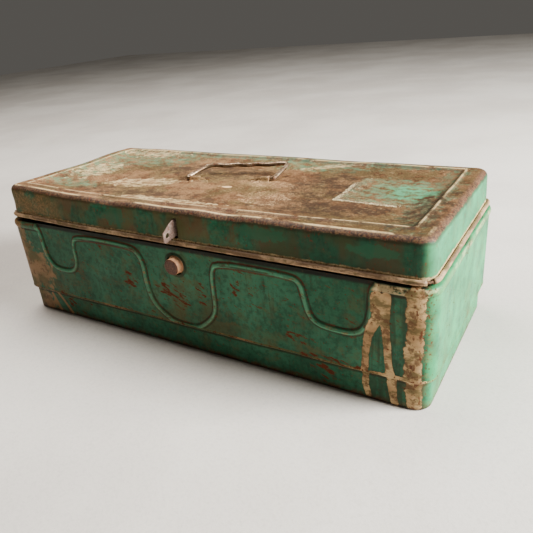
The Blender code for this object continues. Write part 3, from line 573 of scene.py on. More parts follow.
def worn_top(shader, section, marks):
    """The lid's top: worn through to a brown film, with paint left in places."""
    x, y = shader.x, shader.y
    broad = shader.noise(36, seed=31)
    cloud = shader.noise(14, detail=6, rough=0.7, seed=34)
    fine = shader.noise(2.0, detail=6, rough=0.75, seed=33)
    worn = shader.over(BROWN, TAN, broad.rise(0.32, 0.6) * 0.75)
    worn = worn.coat(OLIVE, shader.noise(50, 4, seed=35).rise(0.44, 0.6) * 0.6)
    worn = worn.coat(RUST, cloud.rise(0.5, 0.62) * 0.6)
    worn = worn.coat(DARK_RUST_AND_SHADE, fine.rise(0.46, 0.6) * cloud.rise(0.36, 0.58) * 0.8)
    worn = worn.coat(BARE, fine.rise(0.46, 0.34) * cloud.rise(0.6, 0.4) * 0.5)

    speck = shader.noise(1.1, detail=3, rough=0.7, seed=39)
    worn = worn.coat(CREAM_AND_HIGHLIGHT, speck.rise(0.6, 0.68) * broad.rise(0.4, 0.6) * 0.6)
    worn = worn.coat(DARK_RUST_AND_SHADE, speck.rise(0.4, 0.33) * 0.5)

    # Mint paint is left at both ends and along the back
    keeps = shader.noise(7, detail=7, rough=0.75, stretch=(1.6, 1, 1), seed=37)
    left = shader.patches(x, y, MINT_LEFT, ragged=1.3)
    film = shader.over(MINT, JADE, cloud.rise(0.44, 0.6) * 0.6)
    worn = worn.coat(film, left * keeps.rise(0.42, 0.6) * 0.8)
    stained = shader.patches(x, y, TOP_STAINS, ragged=1.3)
    stained = stained * (cloud + fine * 0.5).rise(0.62, 0.82)
    worn = worn.coat(tone(62, 46, 33), stained * 0.8)

    # Scuffs cut down to cream and bare metal, in places of their own
    scuffed = shader.patches(x, y, TOP_SCUFFS, ragged=1.2)
    cuts = shader.scuffs(x, y, 2.4, 22, 2.2, long=4) * 0.4 + fine * 0.3 + cloud * 0.3
    worn = worn.coat(CREAM_AND_HIGHLIGHT, (cuts + scuffed * 0.1).rise(0.57, 0.65) * 0.8)
    peach = tone(212, 172, 126)
    rubs = shader.patches(x, y, TOP_RUBS, ragged=1.2)
    worn = worn.coat(peach, rubs * (cloud * 0.5 + fine).rise(0.74, 0.84) * 0.55)
    worn = worn.coat(peach, shader.patch(x, y, (6, -15.5), (5, 3), 10, 0.8) * 0.9)
    marks_of_use = shader.scuffs(x, y, 1.1, -12, 6.6).rise(0.63, 0.7)
    worn = worn.coat(CREAM_AND_HIGHLIGHT, marks_of_use * 0.4)

    # The right half is darker
    worn = worn.shade(x.rise(30, 120) * broad.rise(0.2, 0.5), 0.62)

    # A label has gone and left its outline, with greener paint inside it
    inside = x.band(*LABEL_X, 1.5) * y.band(*LABEL_Y, 1.5)
    bright_green = shader.patch(x, y, (182, 16), (22, 20), 0, ragged=1.0)
    worn = worn.coat(MINT, inside * keeps.rise(0.44, 0.6) * 0.45)
    worn = worn.coat(tone(62, 140, 100), bright_green * keeps.rise(0.4, 0.56) * 0.6)
    rim = x.band(*OUTLINE_X, 1) * y.band(*OUTLINE_Y, 1) * (1 - inside)
    leading = rim * (x.rise(131, 124) * y.rise(36, 20) | y.rise(-16, -21) * x.rise(188, 176))
    ghost = leading * 0.85 + inside * (x.rise(146, 124) | y.rise(-8, -20) * 0.6) * 0.3
    bits = (speck * 0.6 + fine * 0.4 + ghost * 0.12).rise(0.56, 0.66)
    worn = worn.coat(tone(206, 190, 150), ghost.rise(0, 0.2) * bits * 0.9)

    # The bead's crest is rubbed pale, and painted shade darkens the creases on both its sides
    crest = section.band(marks["bead"] - 1.2, marks["bead"] + 0.9, 0.7)
    gutter = section.band(marks["bead"] - 4.8, marks["bead"] - 2.6, 0.9)
    gutter = gutter | section.band(marks["bead"] + 2.2, marks["bead"] + 4.2, 0.9)
    worn = worn.coat(DARK_RUST_AND_SHADE, gutter * broad.rise(0.3, 0.6) * 0.35)
    return worn.coat(CREAM_AND_HIGHLIGHT, crest * cloud.rise(0.62, 0.46) * 0.55), fine, cloud


def rolled_edge(shader, colour, section, marks):
    """The roll along the lid's lower edge, which is bare and brown."""
    fine = shader.noise(2.0, detail=6, rough=0.75, seed=33)
    cloud = shader.noise(14, detail=6, rough=0.7, seed=34)
    rubbed = shader.noise(7, 5, 0.7, stretch=(5, 5, 1), seed=43).rise(0.44, 0.58)
    rolled = shader.over(tone(104, 80, 58), tone(168, 136, 104), rubbed * 0.9)
    rolled = rolled.coat(DARK_RUST_AND_SHADE, fine.rise(0.5, 0.62) * 0.5)
    rolled = rolled.coat(OLIVE, cloud.rise(0.5, 0.6) * 0.6)
    return colour.coat(rolled, section.rise(marks["skirt"] + 0.4, marks["skirt"] - 0.8))


def lid_paint(marks):
    shader = Shader("lid_paint", roughness=0.5, gloss=0.1)
    x, y, z = shader.x, shader.y, shader.z
    shader.ragged = shader.noise(8, detail=6, rough=0.68, seed=29)
    section = shader.attribute("section")
    worn, fine, cloud = worn_top(shader, section, marks)
    broad = shader.noise(30, seed=38)
    top = section.rise(marks["border"] - 3, marks["border"] + 1)

    # The skirt keeps its jade under broad olive stains, with rust along its foot
    skirt = weathered_jade(shader)
    stains = shader.noise(20, 4, 0.5, stretch=(1, 1, 2.2), seed=41).rise(0.42, 0.6)
    stain = shader.over(OLIVE, BROWN, broad.rise(0.42, 0.58) * 0.8)
    end = abs(x).rise(222, 229)
    front = y.rise(-90, -94)
    # Painted highlight: both ends of the skirt are painted a brighter green, with fewer stains, as
    # if lit
    skirt = skirt.coat(stain, stains * (1 - end * 0.85) * 0.75)
    skirt = skirt.coat(tone(60, 158, 104), end * broad.rise(0.85, 0.15) * 0.6)
    skirt = skirt.coat(JADE_DEEP, x.rise(60, 110) * front * (1 - end) * 0.5)
    rust_spots = shader.noise(4, 5, 0.62, stretch=(1, 1, 1.6), seed=42).rise(0.6, 0.66)
    skirt = skirt.coat(RUST, rust_spots * broad.rise(0.38, 0.56) * 0.75)
    clean = shader.patches(x, z, SKIRT_CLEAN, ragged=1.0)
    skirt = skirt.coat(JADE, clean * front * 0.7)
    left_end = x.rise(-130, -180) * y.rise(-80, -90) * cloud.rise(0.36, 0.52)
    skirt = skirt.coat(shader.over(OLIVE, TAN, fine.rise(0.4, 0.6)), left_end * 0.7)
    seam = section + (shader.ragged - 0.5) * 5
    seam = seam.band(marks["skirt"] - 0.5, marks["skirt"] + 3.4, 0.8)
    skirt = skirt.coat(shader.over(TAN, CREAM_AND_HIGHLIGHT, fine.rise(0.6, 0.42)), seam * 0.85)

    # A brown, rubbed band follows the rounded edge, with a painted highlight, partly rubbed wear,
    # along its upper side on the front
    jagged = section + (shader.ragged - 0.5) * 5
    low = marks["rounding"] + 2.6
    edge = jagged.rise(low, low + 1.6)
    edge_tone = shader.over(tone(66, 49, 40), tone(44, 32, 26), cloud.rise(0.44, 0.6))
    edge_tone = edge_tone.coat(TAN, fine.rise(0.54, 0.42) * 0.4)
    colour = skirt.coat(DARK_RUST_AND_SHADE, jagged.rise(low - 2.4, low) * 0.6)
    colour = colour.coat(edge_tone, edge)
    highlight_and_rub_band = section.band(marks["border"] - 1.6, marks["border"] + 0.8, 0.8) * y.rise(-66, -82)
    rubbed = shader.noise(7, 5, 0.7, stretch=(5, 5, 1), seed=43).rise(0.44, 0.58)
    colour = colour.coat(worn, top)
    # Painted highlight, broken by rubbing, along the front edge's upper side
    colour = colour.coat(CREAM_AND_HIGHLIGHT, highlight_and_rub_band * rubbed * 0.75)

    colour = rolled_edge(shader, colour, section, marks)

    near = broad * 0.5 + edge * (1 - top) * 0.4
    colour, chips = flecks(shader, colour, near, seed=45, size=2.2, level=0.7)
    grain = shader.noise(1.4, detail=6, rough=0.65, seed=46)
    height = 1 - chips * 0.6 + grain * 0.22 + cloud * 0.5
    roughness = 0.4 + fine * 0.25 - highlight_and_rub_band * rubbed * 0.1
    return shader.finish(colour, roughness, height, bump=0.5)


def pan_paint(name, marks=None):
    """The paint of the bottom and of the insides, which is dull but mostly whole."""
    shader = Shader(name, roughness=0.6, gloss=0.15)
    shader.ragged = shader.noise(26, detail=6, rough=0.68, seed=51)
    spots = shader.noise(5, 5, rough=0.7, seed=52)
    colour = weathered_jade(shader)
    colour = colour.coat(OLIVE, shader.ragged.rise(0.44, 0.6) * 0.6)
    rusted = (spots + shader.ragged * 0.6).rise(0.9, 0.96)
    colour = colour.coat(DARK_RUST_AND_SHADE, rusted * 0.85)
    colour = colour.coat(RUST, rusted * spots.rise(0.64, 0.7) * 0.6)
    if marks:
        colour = rolled_edge(shader, colour, shader.attribute("section"), marks)
    return shader.finish(colour, 0.52 + rusted * 0.3, spots - rusted * 0.3, bump=0.35)


def worn_steel(name, clean, dull, rust, rough=0.42, rusted=0.55, metallic=0.55):
    """Old steel: a clean tone, a dull film, and rust that spots through it."""
    shader = Shader(name, roughness=rough, metallic=metallic)
    film = shader.noise(9, detail=5, rough=0.6, seed=61).rise(0.38, 0.62)
    fine = shader.noise(1.6, detail=6, rough=0.7, seed=62)
    blooms = shader.noise(3.6, detail=5, rough=0.65, seed=63).rise(rusted, rusted + 0.09)
    colour = shader.over(clean, dull, film)
    colour = colour.shade(fine.rise(0.45, 0.65), 0.7)
    colour = colour.coat(rust, blooms * 0.85)
    metal = metallic * (1 - blooms * 0.9)
    roughness = rough + blooms * 0.35 + film * 0.12
    return shader.finish(colour, roughness, fine - blooms * 0.4, bump=0.45, metallic=metal)


def button_steel():
    shader = Shader("button_steel", roughness=0.4, metallic=0.2)
    # Painted highlight: the button's side is painted pale tan against its darker face
    side = shader.y.rise(FRONT - BUTTON_PROUD + 0.5, FRONT - BUTTON_PROUD + 1.1)
    fine = shader.noise(1.7, detail=6, rough=0.7, seed=71)
    face = shader.over(tone(66, 40, 30), tone(108, 70, 52), fine.rise(0.42, 0.66))
    colour = face.coat(tone(214, 158, 118), side * 0.95)
    colour = colour.coat(DARK_RUST_AND_SHADE, fine.rise(0.58, 0.68) * 0.5)
    return shader.finish(colour, 0.38 + fine * 0.3, fine, bump=0.35)


# Mesh tools ------------------------------------------------------------------------------


def add_object(name, data):
    made = bpy.data.objects.new(name, data)
    bpy.context.scene.collection.objects.link(made)
    return made


def edit_mesh(mesh, change):
    """Opens a mesh in bmesh, makes the change and writes it back."""
    bm = bmesh.new()
    bm.from_mesh(mesh)
    change(bm)
    bm.to_mesh(mesh)
    bm.free()


def add_piece(name, points, faces, body, slot, replaces=(), smooth=40):
    """Makes an object from points in millimetres, sets it in place and rides it on its body."""
    mesh = bpy.data.meshes.new(name)
    mesh.from_pydata([tuple(c * MM for c in point) for point in points], [], faces)
    mesh.update()
    mesh.materials.append(FINISHES[slot])
    mesh.shade_smooth()
    mesh.set_sharp_from_angle(angle=math.radians(smooth))
    piece = add_object(name, mesh)
    piece.location.y = BODY_Y * MM
    if body:
        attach(piece, body)
    if replaces:
        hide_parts(*replaces)
    return piece


def add_values(piece, name, values):
    attribute = piece.data.attributes.new(name, "FLOAT", "POINT")
    attribute.data.foreach_set("value", np.array(values, np.float32))


def thicken(piece, thickness=SHEET, inside=None):
    """Gives a skin its thickness inwards, and the inside a finish of its own."""
    sheet = piece.modifiers.new("sheet", "SOLIDIFY")
    sheet.thickness = thickness * MM
    sheet.offset = -1
    if inside:
        piece.data.materials.append(inside)
        sheet.material_offset = 1


def wrap_columns(front, side, back, corner):
    """Columns round the plan: a share of each straight run, and the outward direction."""
    columns = []
    for quarter, count in enumerate((front, side, back, side)):
        turn = quarter * math.pi / 2
        normal = Vector((math.sin(turn), -math.cos(turn)))
        along = Vector((math.cos(turn), math.sin(turn)))
        for step in range(count):
            columns.append((normal + along * (2 * step / count - 1), normal))
        for step in range(corner):
            angle = turn + step / corner * math.pi / 2
            columns.append((normal + along, Vector((math.sin(angle), -math.cos(angle)))))
    return columns


def snap_front(columns, count, *places):
    """Moves the nearest front column onto each place along X."""
    half = LENGTH / 2 - CORNER_RADIUS
    for place in places:
        nearest = min(range(1, count), key=lambda i: abs(columns[i][0].x * half - place))
        columns[nearest][0].x = place / half


def on_plan(column, outset):
    share, normal = column
    radius = max(CORNER_RADIUS + outset, SMALLEST_CORNER)
    x = share.x * (LENGTH / 2 + outset - radius) + normal.x * radius
    y = share.y * (WIDTH / 2 + outset - radius) + normal.y * radius
    return x, y


def ring_faces(rows, count, skip=lambda row, column: False):
    faces = []
    for row in range(rows - 1):
        for column in range(count):
            if not skip(row, column):
                after = (column + 1) % count
                base, above = row * count, (row + 1) * count
                faces.append((base + column, base + after, above + after, above + column))
    return faces


def arc(centre, radius, start, turn, steps):
    angles = (math.radians(start + turn * step / steps) for step in range(steps + 1))
    return [(centre[0] + radius * math.cos(a), centre[1] + radius * math.sin(a)) for a in angles]


def heights(start, end, step):
    count = max(1, round((end - start) / step))
    return [start + (end - start) * i / count for i in range(count + 1)]


def rounded(points, times=2):
    """Cuts the corners of an open line, so that it turns smoothly."""
    for _ in range(times):
        cut = [points[0]]
        for here, after in zip(points, points[1:]):
            cut.append(tuple(h * 0.75 + a * 0.25 for h, a in zip(here, after)))
            cut.append(tuple(h * 0.25 + a * 0.75 for h, a in zip(here, after)))
        points = cut + [points[-1]]
    return points


def smoothstep(value, start, end):
    share = min(1, max(0, (value - start) / (end - start)))
    return share * share * (3 - 2 * share)


def tube(points, radius, sides, closed=False, swell=None):
    """Points and faces of a round wire along a line, with rounded ends where it is open."""
    count = len(points)
    points = [Vector(point) for point in points]
    rings = []
    up = Vector((0, 0, 1))
    for i, place in enumerate(points):
        before = points[i - 1] if closed or i else place
        after = points[(i + 1) % count] if closed or i < count - 1 else place
        ahead = (after - before).normalized()
        side = ahead.cross(up).normalized()
        over = side.cross(ahead)
        reach = radius * (swell(i, place) if swell else 1)
        ring = []
        for turn in range(sides):
            angle = 2 * math.pi * turn / sides
            ring.append(place + (side * math.cos(angle) + over * math.sin(angle)) * reach)
        rings.append(ring)
    if not closed:
        for end, inner in ((0, 1), (-1, -2)):
            outward = (points[end] - points[inner]).normalized()
            middle = points[end]
            cap = [middle + (p - middle) * 0.6 + outward * radius * 0.4 for p in rings[end]]
            if end == 0:
                rings.insert(0, cap)
            else:
                rings.append(cap)
    faces = []
    for row in range(len(rings) - (0 if closed else 1)):
        below, above = row * sides, (row + 1) % len(rings) * sides
        for turn in range(sides):
            after = (turn + 1) % sides
            faces.append((below + turn, below + after, above + after, above + turn))
    if not closed:
        faces.append(tuple(reversed(range(sides))))
        faces.append(tuple(range((len(rings) - 1) * sides, len(rings) * sides)))
    return [p for ring in rings for p in ring], faces


def lathe(profile, centre, forward, sides):
    """A turned shape: profile is (radius, distance forward) pairs, from one pole to the other."""
    forward = Vector(forward).normalized()
    side = forward.orthogonal().normalized()
    over = forward.cross(side)
    points, faces = [], []
    for radius, ahead in profile:
        for turn in range(sides):
            angle = 2 * math.pi * turn / sides
            out = side * math.cos(angle) + over * math.sin(angle)
            points.append(centre + forward * ahead + out * radius)
    for row in range(len(profile) - 1):
        for turn in range(sides):
            after = (turn + 1) % sides
            below, above = row * sides, (row + 1) * sides
            faces.append((below + turn, above + turn, above + after, below + after))
    return points, faces


# The body --------------------------------------------------------------------------------

# The pressed panel's edge on the front, left to right; the wall is pressed in above it
PRESSED_EDGE = [
    (-191, 109), (-187, 100), (-187, 82), (-181, 67), (-171, 60), (-151, 60), (-141, 65),
    (-137, 76), (-137, 94), (-130, 103), (-56, 103), (-46, 97), (-42, 86), (-41.5, 64),
    (-35, 45), (-24, 36), (-12, 29), (10, 29), (18, 30), (34, 43), (39.2, 55), (39.4, 74),
    (39.6, 92), (46, 102), (118, 102), (128, 98), (131, 83), (135, 69), (143, 62.5),
    (157, 61), (172, 61), (182, 67), (187, 84), (187, 101), (191, 108),
]


def pressed_distance(places):
    """How far each front place lies inside the pressed edge; negative is outside it."""
    line = np.array(rounded(PRESSED_EDGE))
    starts, ends = line[:-1], line[1:]
    spans = ends - starts
    places = np.array(places)[:, None, :]
    share = ((places - starts) * spans).sum(2) / (spans ** 2).sum(1)
    nearest = starts + np.clip(share, 0, 1)[..., None] * spans
    distance = np.sqrt(((places - nearest) ** 2).sum(2)).min(1)
    xs, zs = places[:, 0, 0], places[:, 0, 1]
    inside = (zs > np.interp(xs, line[:, 0], line[:, 1])) & (abs(xs) < 190)
    return np.where(inside, distance, -distance)


def wall_section():
    rows = [(-FOOT_FLANGE, 0.5), (-5, 0.2), (-4, 0.4), (-BAND_INSET, 1.2)]
    rows += [(-BAND_INSET, z) for z in heights(3, 24, 3)]
    rows += [(-3.3, 25), (-2.9, 25.9), (-2, 26.7), (-0.8, 27.5), (0, 28.3), (0.4, 29.2)]
    rows += [(0.3, 30.4)]
    rows += [(0, z) for z in heights(31.8, 101.4, 1.4)]
    middle, half = (BEAD_BOTTOM + BEAD_TOP) / 2, (BEAD_TOP - BEAD_BOTTOM) / 2
    for step in range(9):
        angle = math.pi * step / 8
        rows.append((BEAD_PROUD * math.sin(angle), middle - half * math.cos(angle)))
    rows += [(-SHEET, 110.2), (-RIM_INSET + SHEET, 110.4), (-RIM_INSET, 111.3)]
    rows += [(-RIM_INSET, z) for z in (113, 115.5, WALL_TOP)]
    return rows


def make_body():
    front, side, back, corner = 330, 50, 70, 8
    columns = wrap_columns(front, side, back, corner)
    rows = wall_section()
    count = len(columns)
    points = [(*on_plan(column, outset), z) for outset, z in rows for column in columns]
    wall = [i for i, p in enumerate(points) if i % count <= front and 30 < p[2] < 109.6]
    distance = pressed_distance([(points[i][0], points[i][2]) for i in wall])
    emboss = [-12.0] * len(points)
    for i, reach in zip(wall, distance):
        x, y, z = points[i]
        pressed = smoothstep(reach, -EMBOSS_HALF, EMBOSS_HALF)
        ridge = smoothstep(abs(reach), EMBOSS_HALF, 0) * smoothstep(z, 109.8, 106)
        y += pressed * (FRONT - y + EMBOSS_DEPTH) - ridge * EMBOSS_BEAD
        points[i] = (x, y, z)
        emboss[i] = max(-12, min(12, reach))
    for i, (x, y, z) in enumerate(points):
        if i % count <= 2 * corner + front + side and 2 < z < 108:
            away = smoothstep((Vector((x, z)) - Vector((BUTTON.x, BUTTON.z))).length, 12, 30)
            hold = away * smoothstep(235 - abs(x), 0, 14)
            dent = noise.noise(Vector((x / 46, y / 90, z / 34))) * 2 * DENT * hold
            points[i] = (x, y + dent, z) if y < FRONT + 6 else (x - dent, y, z)

    hole = BUTTON.xz
    gone = set()
    for i in wall:
        x, y, z = points[i]
        away = (Vector((x, z)) - hole).length
        if away < BUTTON_HOLE - 0.8:
            gone.add(i)
        elif away < BUTTON_HOLE + 0.8:
            place = hole + (Vector((x, z)) - hole).normalized() * BUTTON_HOLE
            points[i] = (place.x, y, place.y)
    faces = [f for f in ring_faces(len(rows), count) if not gone.intersection(f)]
    walls = [f"body_{name}_wall" for name in ("front", "back", "left", "right")]
    body = add_piece("body_skin", points, faces, "box", "body_paint", walls)
    add_values(body, "emboss", emboss)
    edit_mesh(body.data, drop_loose_points)
    thicken(body, inside=FINISHES["pan_paint"])

    profile = [(9.2, -3.6), (9.1, -1.8), (9.4, -0.7), (10.1, -0.1), (11, -0.3), (11.8, -1.0)]
    profile += [(12.4, -1.7)]
    points, faces = lathe(profile, BUTTON, (0, -1, 0), 48)
    collar = add_piece("button_collar", points, faces, "box", "body_paint")
    add_values(collar, "emboss", [12.0] * len(points))
    thicken(collar, 0.4)


def drop_loose_points(bm):
    bmesh.ops.delete(bm, geom=[v for v in bm.verts if not v.link_faces], context="VERTS")


# The lid ---------------------------------------------------------------------------------


def lid_section():
    """The lid's (outset, height) rows from the roll's inner end, and where its parts start."""
    rows = list(reversed(arc((ROLL_OUTSET, ROLL_HEIGHT), ROLL_RADIUS, 180, 290, 16)))
    starts = {"skirt": len(rows) - 1}
    lean = (SKIRT_INSET + ROLL_OUTSET - ROLL_RADIUS) / (SKIRT_TOP - ROLL_HEIGHT)
    for z in (115.6, SLOT[2], *heights(120, 134.6, 2.1), SLOT[3]):
        rows.append((ROLL_OUTSET - ROLL_RADIUS - lean * (z - ROLL_HEIGHT), z))
    starts["rounding"] = len(rows)
    rows += arc((-SKIRT_INSET - ROUNDING, SKIRT_TOP), ROUNDING, 0, 90, 9)
    starts["border"] = len(rows) - 1
    rows += [(-13, LID_HEIGHT), (-15, 144.9), (-17, 144.7)]
    for step in range(11):
        share = step / 10
        rise = LID_BEAD_RISE * math.sin(math.pi * share) ** 2
        outset = -LID_BEAD_INSET + LID_BEAD_HALF - 2 * LID_BEAD_HALF * share
        rows.append((outset, 144.7 - 1.5 * share + rise))
        if step == 5:
            starts["bead"] = len(rows) - 1
    for share in (0.15, 0.35, 0.6, 0.8, 1):
        run = LID_PANEL_INSET - LID_BEAD_INSET - LID_BEAD_HALF
        outset = -LID_BEAD_INSET - LID_BEAD_HALF - share * run
        rows.append((outset, 143.2 + (LID_PANEL - 143.2) * smoothstep(share, 0, 1)))
    return rows, starts


def section_lengths(rows):
    lengths = [0]
    for here, after in zip(rows, rows[1:]):
        lengths.append(lengths[-1] + math.dist(here, after))
    return lengths


def worn_lid_shape(x, y, z):
    """The lid's place after years of knocks: a lifted corner, dents and a wavy front edge."""
    lift = smoothstep(x, -110, -228) * smoothstep(y, 40, -95) * CORNER_LIFT
    z += lift
    top = smoothstep(z, 132, 143)
    edge = smoothstep(y, -74, -92) * top
    for middle, reach, depth in ((-83, 22, 2.6), (55, 18, 2.3), (-8, 20, 0.7), (130, 36, 1.2)):
        dent = math.exp(-(((x - middle) / reach) ** 2)) * depth * edge
        z -= dent
        y += dent * 0.7
    sound = smoothstep(max(abs(x + 4), abs(y - 6) * 1.6), 62, 100)
    z += noise.noise(Vector((x / 62, y / 44, 3.3))) * 1.3 * sound * top
    side = smoothstep(z, 118, 128) * (1 - top) * smoothstep(abs(x - 3), 8, 24)
    if y < -80:
        y += noise.noise(Vector((x / 33, z / 20, 7.7))) * 1.1 * side
    return x, y, z


def bead_line(x, y, outset):
    """The bead runs nearer to the back edge than to the front one."""
    near = smoothstep(-outset, 10, 20) * smoothstep(-outset, 44, 28)
    crowd = smoothstep(y, -40, -72) * smoothstep(x, 190, 40) * 6
    return x, y + near * (4.4 + y * 0.03 - crowd)


def make_lid():
    front = back = 200
    side, corner = 76, 8
    columns = wrap_columns(front, side, back, corner)
    snap_front(columns, front, *SLOT[:2])
    rows, starts = lid_section()
    lengths = section_lengths(rows)
    count = len(columns)
    points, section = [], []
    for (outset, z), length in zip(rows, lengths):
        for column in columns:
            x, y = bead_line(*on_plan(column, outset), outset)
            points.append(worn_lid_shape(x, y, z))
            section.append(length)

    half = LENGTH / 2 - CORNER_RADIUS
    in_slot = {
        i
        for i in range(front)
        if columns[i][0].x * half > SLOT[0] - 0.01 and columns[i + 1][0].x * half < SLOT[1] + 0.01
    }
    run = {0: front, 1: side, 2: back, 3: side}
    notch = set()
    first = 0
    for quarter in range(4):
        first += run[quarter]
        middle = first + corner // 2
        notch.update(i % count for i in range(middle - NOTCH_HALF, middle + NOTCH_HALF))
        first += corner
    roll_end = starts["skirt"] - 3

    def left_out(row, column):
        rolled = row < roll_end and column in notch
        slotted = column in in_slot and SLOT[2] - 0.1 < rows[row][1] < SLOT[3] - 0.1
        return rolled or (slotted and row > starts["skirt"])

    faces = ring_faces(len(rows), count, left_out)
    fill_panel(points, faces, section, (len(rows) - 1) * count, front, side, corner)
    nodes = ["lid_top"] + [f"lid_{name}_skirt" for name in ("front", "back", "left", "right")]
    lid = add_piece("lid_skin", points, faces, "lid", "lid_paint", nodes)
    add_values(lid, "section", section)
    edit_mesh(lid.data, drop_loose_points)
    thicken(lid, inside=pan_paint("lid_inside", lid_marks))


def fill_panel(points, faces, section, first, front, side, corner):
    """A sheet of faces inside the last ring, whose corners are the middles of its corners."""
    across, deep = front + corner, side + corner
    count = 2 * (across + deep)
    ring = [first + (i - corner // 2) % count for i in range(count)]
    south = ring[:across + 1]
    east = ring[across:across + deep + 1]
    north = list(reversed(ring[across + deep:2 * across + deep + 1]))
    west = list(reversed(ring[2 * across + deep:] + ring[:1]))
    place = [Vector(point) for point in points]
    corners = [place[i] for i in (south[0], south[-1], north[0], north[-1])]
    grid = {}
    for v in range(deep + 1):
        for u in range(across + 1):
            if v in (0, deep) or u in (0, across):
                edge = south[u] if v == 0 else north[u] if v == deep else None
                grid[u, v] = edge if edge is not None else west[v] if u == 0 else east[v]
                continue
            s, t = u / across, v / deep
            flat = place[south[u]].lerp(place[north[u]], t)
            flat += place[west[v]].lerp(place[east[v]], s)
            flat -= corners[0].lerp(corners[1], s).lerp(corners[2].lerp(corners[3], s), t)
            x, y, _ = flat
            grid[u, v] = len(points)
            points.append(worn_lid_shape(x, y, LID_PANEL))
            section.append(section[first])
    for v in range(deep):
        for u in range(across):
            faces.append((grid[u, v], grid[u + 1, v], grid[u + 1, v + 1], grid[u, v + 1]))


def make_edge_wire():
    columns = wrap_columns(100, 40, 100, 8)
    line = [worn_lid_shape(*on_plan(column, ROLL_OUTSET), ROLL_HEIGHT) for column in columns]
    points, faces = tube(line, 1.2, 10, closed=True)
    add_piece("edge_wire", points, faces, "lid", "edge_wire_steel", ["lid_edge_wire"])


def make_handle_bosses():
    """Two half-tunnels pressed up in the lid, open outwards, that hold the handle's feet."""
    turned = Matrix.Rotation(HANDLE_TURN, 3, "Z")
    mouth = FOOT_SPAN / 2 - BOSS_INSET
    rows = 15
    for name, side in (("left", -1), ("right", 1)):
        points = []
        for step in range(rows):
            run = step / (rows - 1) * BOSS_LENGTH
            narrow = smoothstep(run, BOSS_STRAIGHT, BOSS_LENGTH)
            radius = (3.1 - 0.05 * run) * (1 - narrow) + 1.4 * narrow
            height = 1.9 * (1 - narrow) - 1.8 * narrow
            ring = [(-radius - 4.4, -3.1), (-radius - 2.2, -2.4), (-radius - 0.7, -1.6)]
            for turn in range(13):
                angle = math.pi * (1 - turn / 12)
                ring.append((radius * math.cos(angle), radius * math.sin(angle) - 2.4 + height))
            ring += [(radius + 0.7, -1.6), (radius + 2.2, -2.4), (radius + 4.4, -3.1)]
            for over, up in ring:
                point = turned @ Vector((side * (mouth - run), over, up))
                points.append(HANDLE_MIDDLE + point)
        width = len(points) // rows
        faces = []
        for row in range(rows - 1):
            for i in range(width - 1):
                face = (row * width + i, row * width + i + 1)
                face += ((row + 1) * width + i + 1, (row + 1) * width + i)
                faces.append(face if side > 0 else tuple(reversed(face)))
        boss = add_piece(f"handle_boss_{name}", points, faces, "lid", "lid_paint")
        add_values(boss, "section", [lid_marks["panel"]] * len(points))
        thicken(boss, 0.7)


# The handle ------------------------------------------------------------------------------


def bend(before, corner, after, reach, steps):
    start = corner + (before - corner).normalized() * reach
    end = corner + (after - corner).normalized() * reach
    shares = (step / steps for step in range(steps + 1))
    return [start * (1 - t) ** 2 + corner * 2 * t * (1 - t) + end * t * t for t in shares]


def make_handle():
    left, right = Vector((-FOOT_SPAN / 2, 0, 0)), Vector((FOOT_SPAN / 2, 0, 0))
    inner = Vector((FOOT_LENGTH, 0, 0))
    line = [left + inner, left + inner * 0.7]
    line += bend(line[0], left, GRIP_LEFT, 4, 7)
    line += bend(left, GRIP_LEFT, GRIP_RIGHT, 9, 9)
    grip = GRIP_RIGHT - GRIP_LEFT
    across = Vector((-grip.y, grip.x, 0)).normalized()
    for step in range(12, 85):
        share = step / 96
        swing = math.cos(2 * math.pi * GRIP_WAVES * share)
        line.append(GRIP_LEFT + grip * share - across * GRIP_WAVE_HEIGHT * (swing + 1) / 2)
    line += bend(line[-1], GRIP_RIGHT, right, 5, 7)
    line += bend(GRIP_RIGHT, right, right - inner, 4, 7)
    line += [right - inner * 0.7, right - inner]
    placed = Matrix.Rotation(HANDLE_TURN, 3, "Z") @ Matrix.Rotation(HANDLE_LEAN, 3, "X")
    line = [HANDLE_MIDDLE + placed @ point for point in line]
    points, faces = tube(line, WIRE_RADIUS, 16)
    add_piece("handle_wire", points, faces, "handle", "handle_steel", ["handle"])


# The catch -------------------------------------------------------------------------------


def plate(outline, across, holes, normal_axis, start, thick):
    """A flat plate with round holes, filled in its own plane and then given its thickness."""
    bm = bmesh.new()
    loops = [outline] + [
        arc(centre, radius, 0, 360 * 27 / 28, 27) for centre, radius in holes
    ]
    edges = []
    for loop in loops:
        verts = [bm.verts.new(across(u, v)) for u, v in loop]
        edges += [bm.edges.new((a, b)) for a, b in zip(verts, verts[1:] + verts[:1])]
    bmesh.ops.triangle_fill(bm, edges=edges, use_beauty=True)
    flat = list(bm.faces)
    grown = bmesh.ops.extrude_face_region(bm, geom=flat)["geom"]
    far = [item for item in grown if isinstance(item, bmesh.types.BMVert)]
    bmesh.ops.translate(bm, vec=Vector(normal_axis) * thick, verts=far)
    bmesh.ops.translate(bm, vec=Vector(normal_axis) * start, verts=bm.verts)
    bmesh.ops.recalc_face_normals(bm, faces=bm.faces)
    bm.verts.index_update()
    points = [v.co.copy() for v in bm.verts]
    faces = [tuple(v.index for v in f.verts) for f in bm.faces]
    bm.free()
    return points, faces


def soften(piece, width):
    edge = piece.modifiers.new("edges", "BEVEL")
    edge.width = width * MM
    edge.segments = 2
    edge.limit_method = "ANGLE"


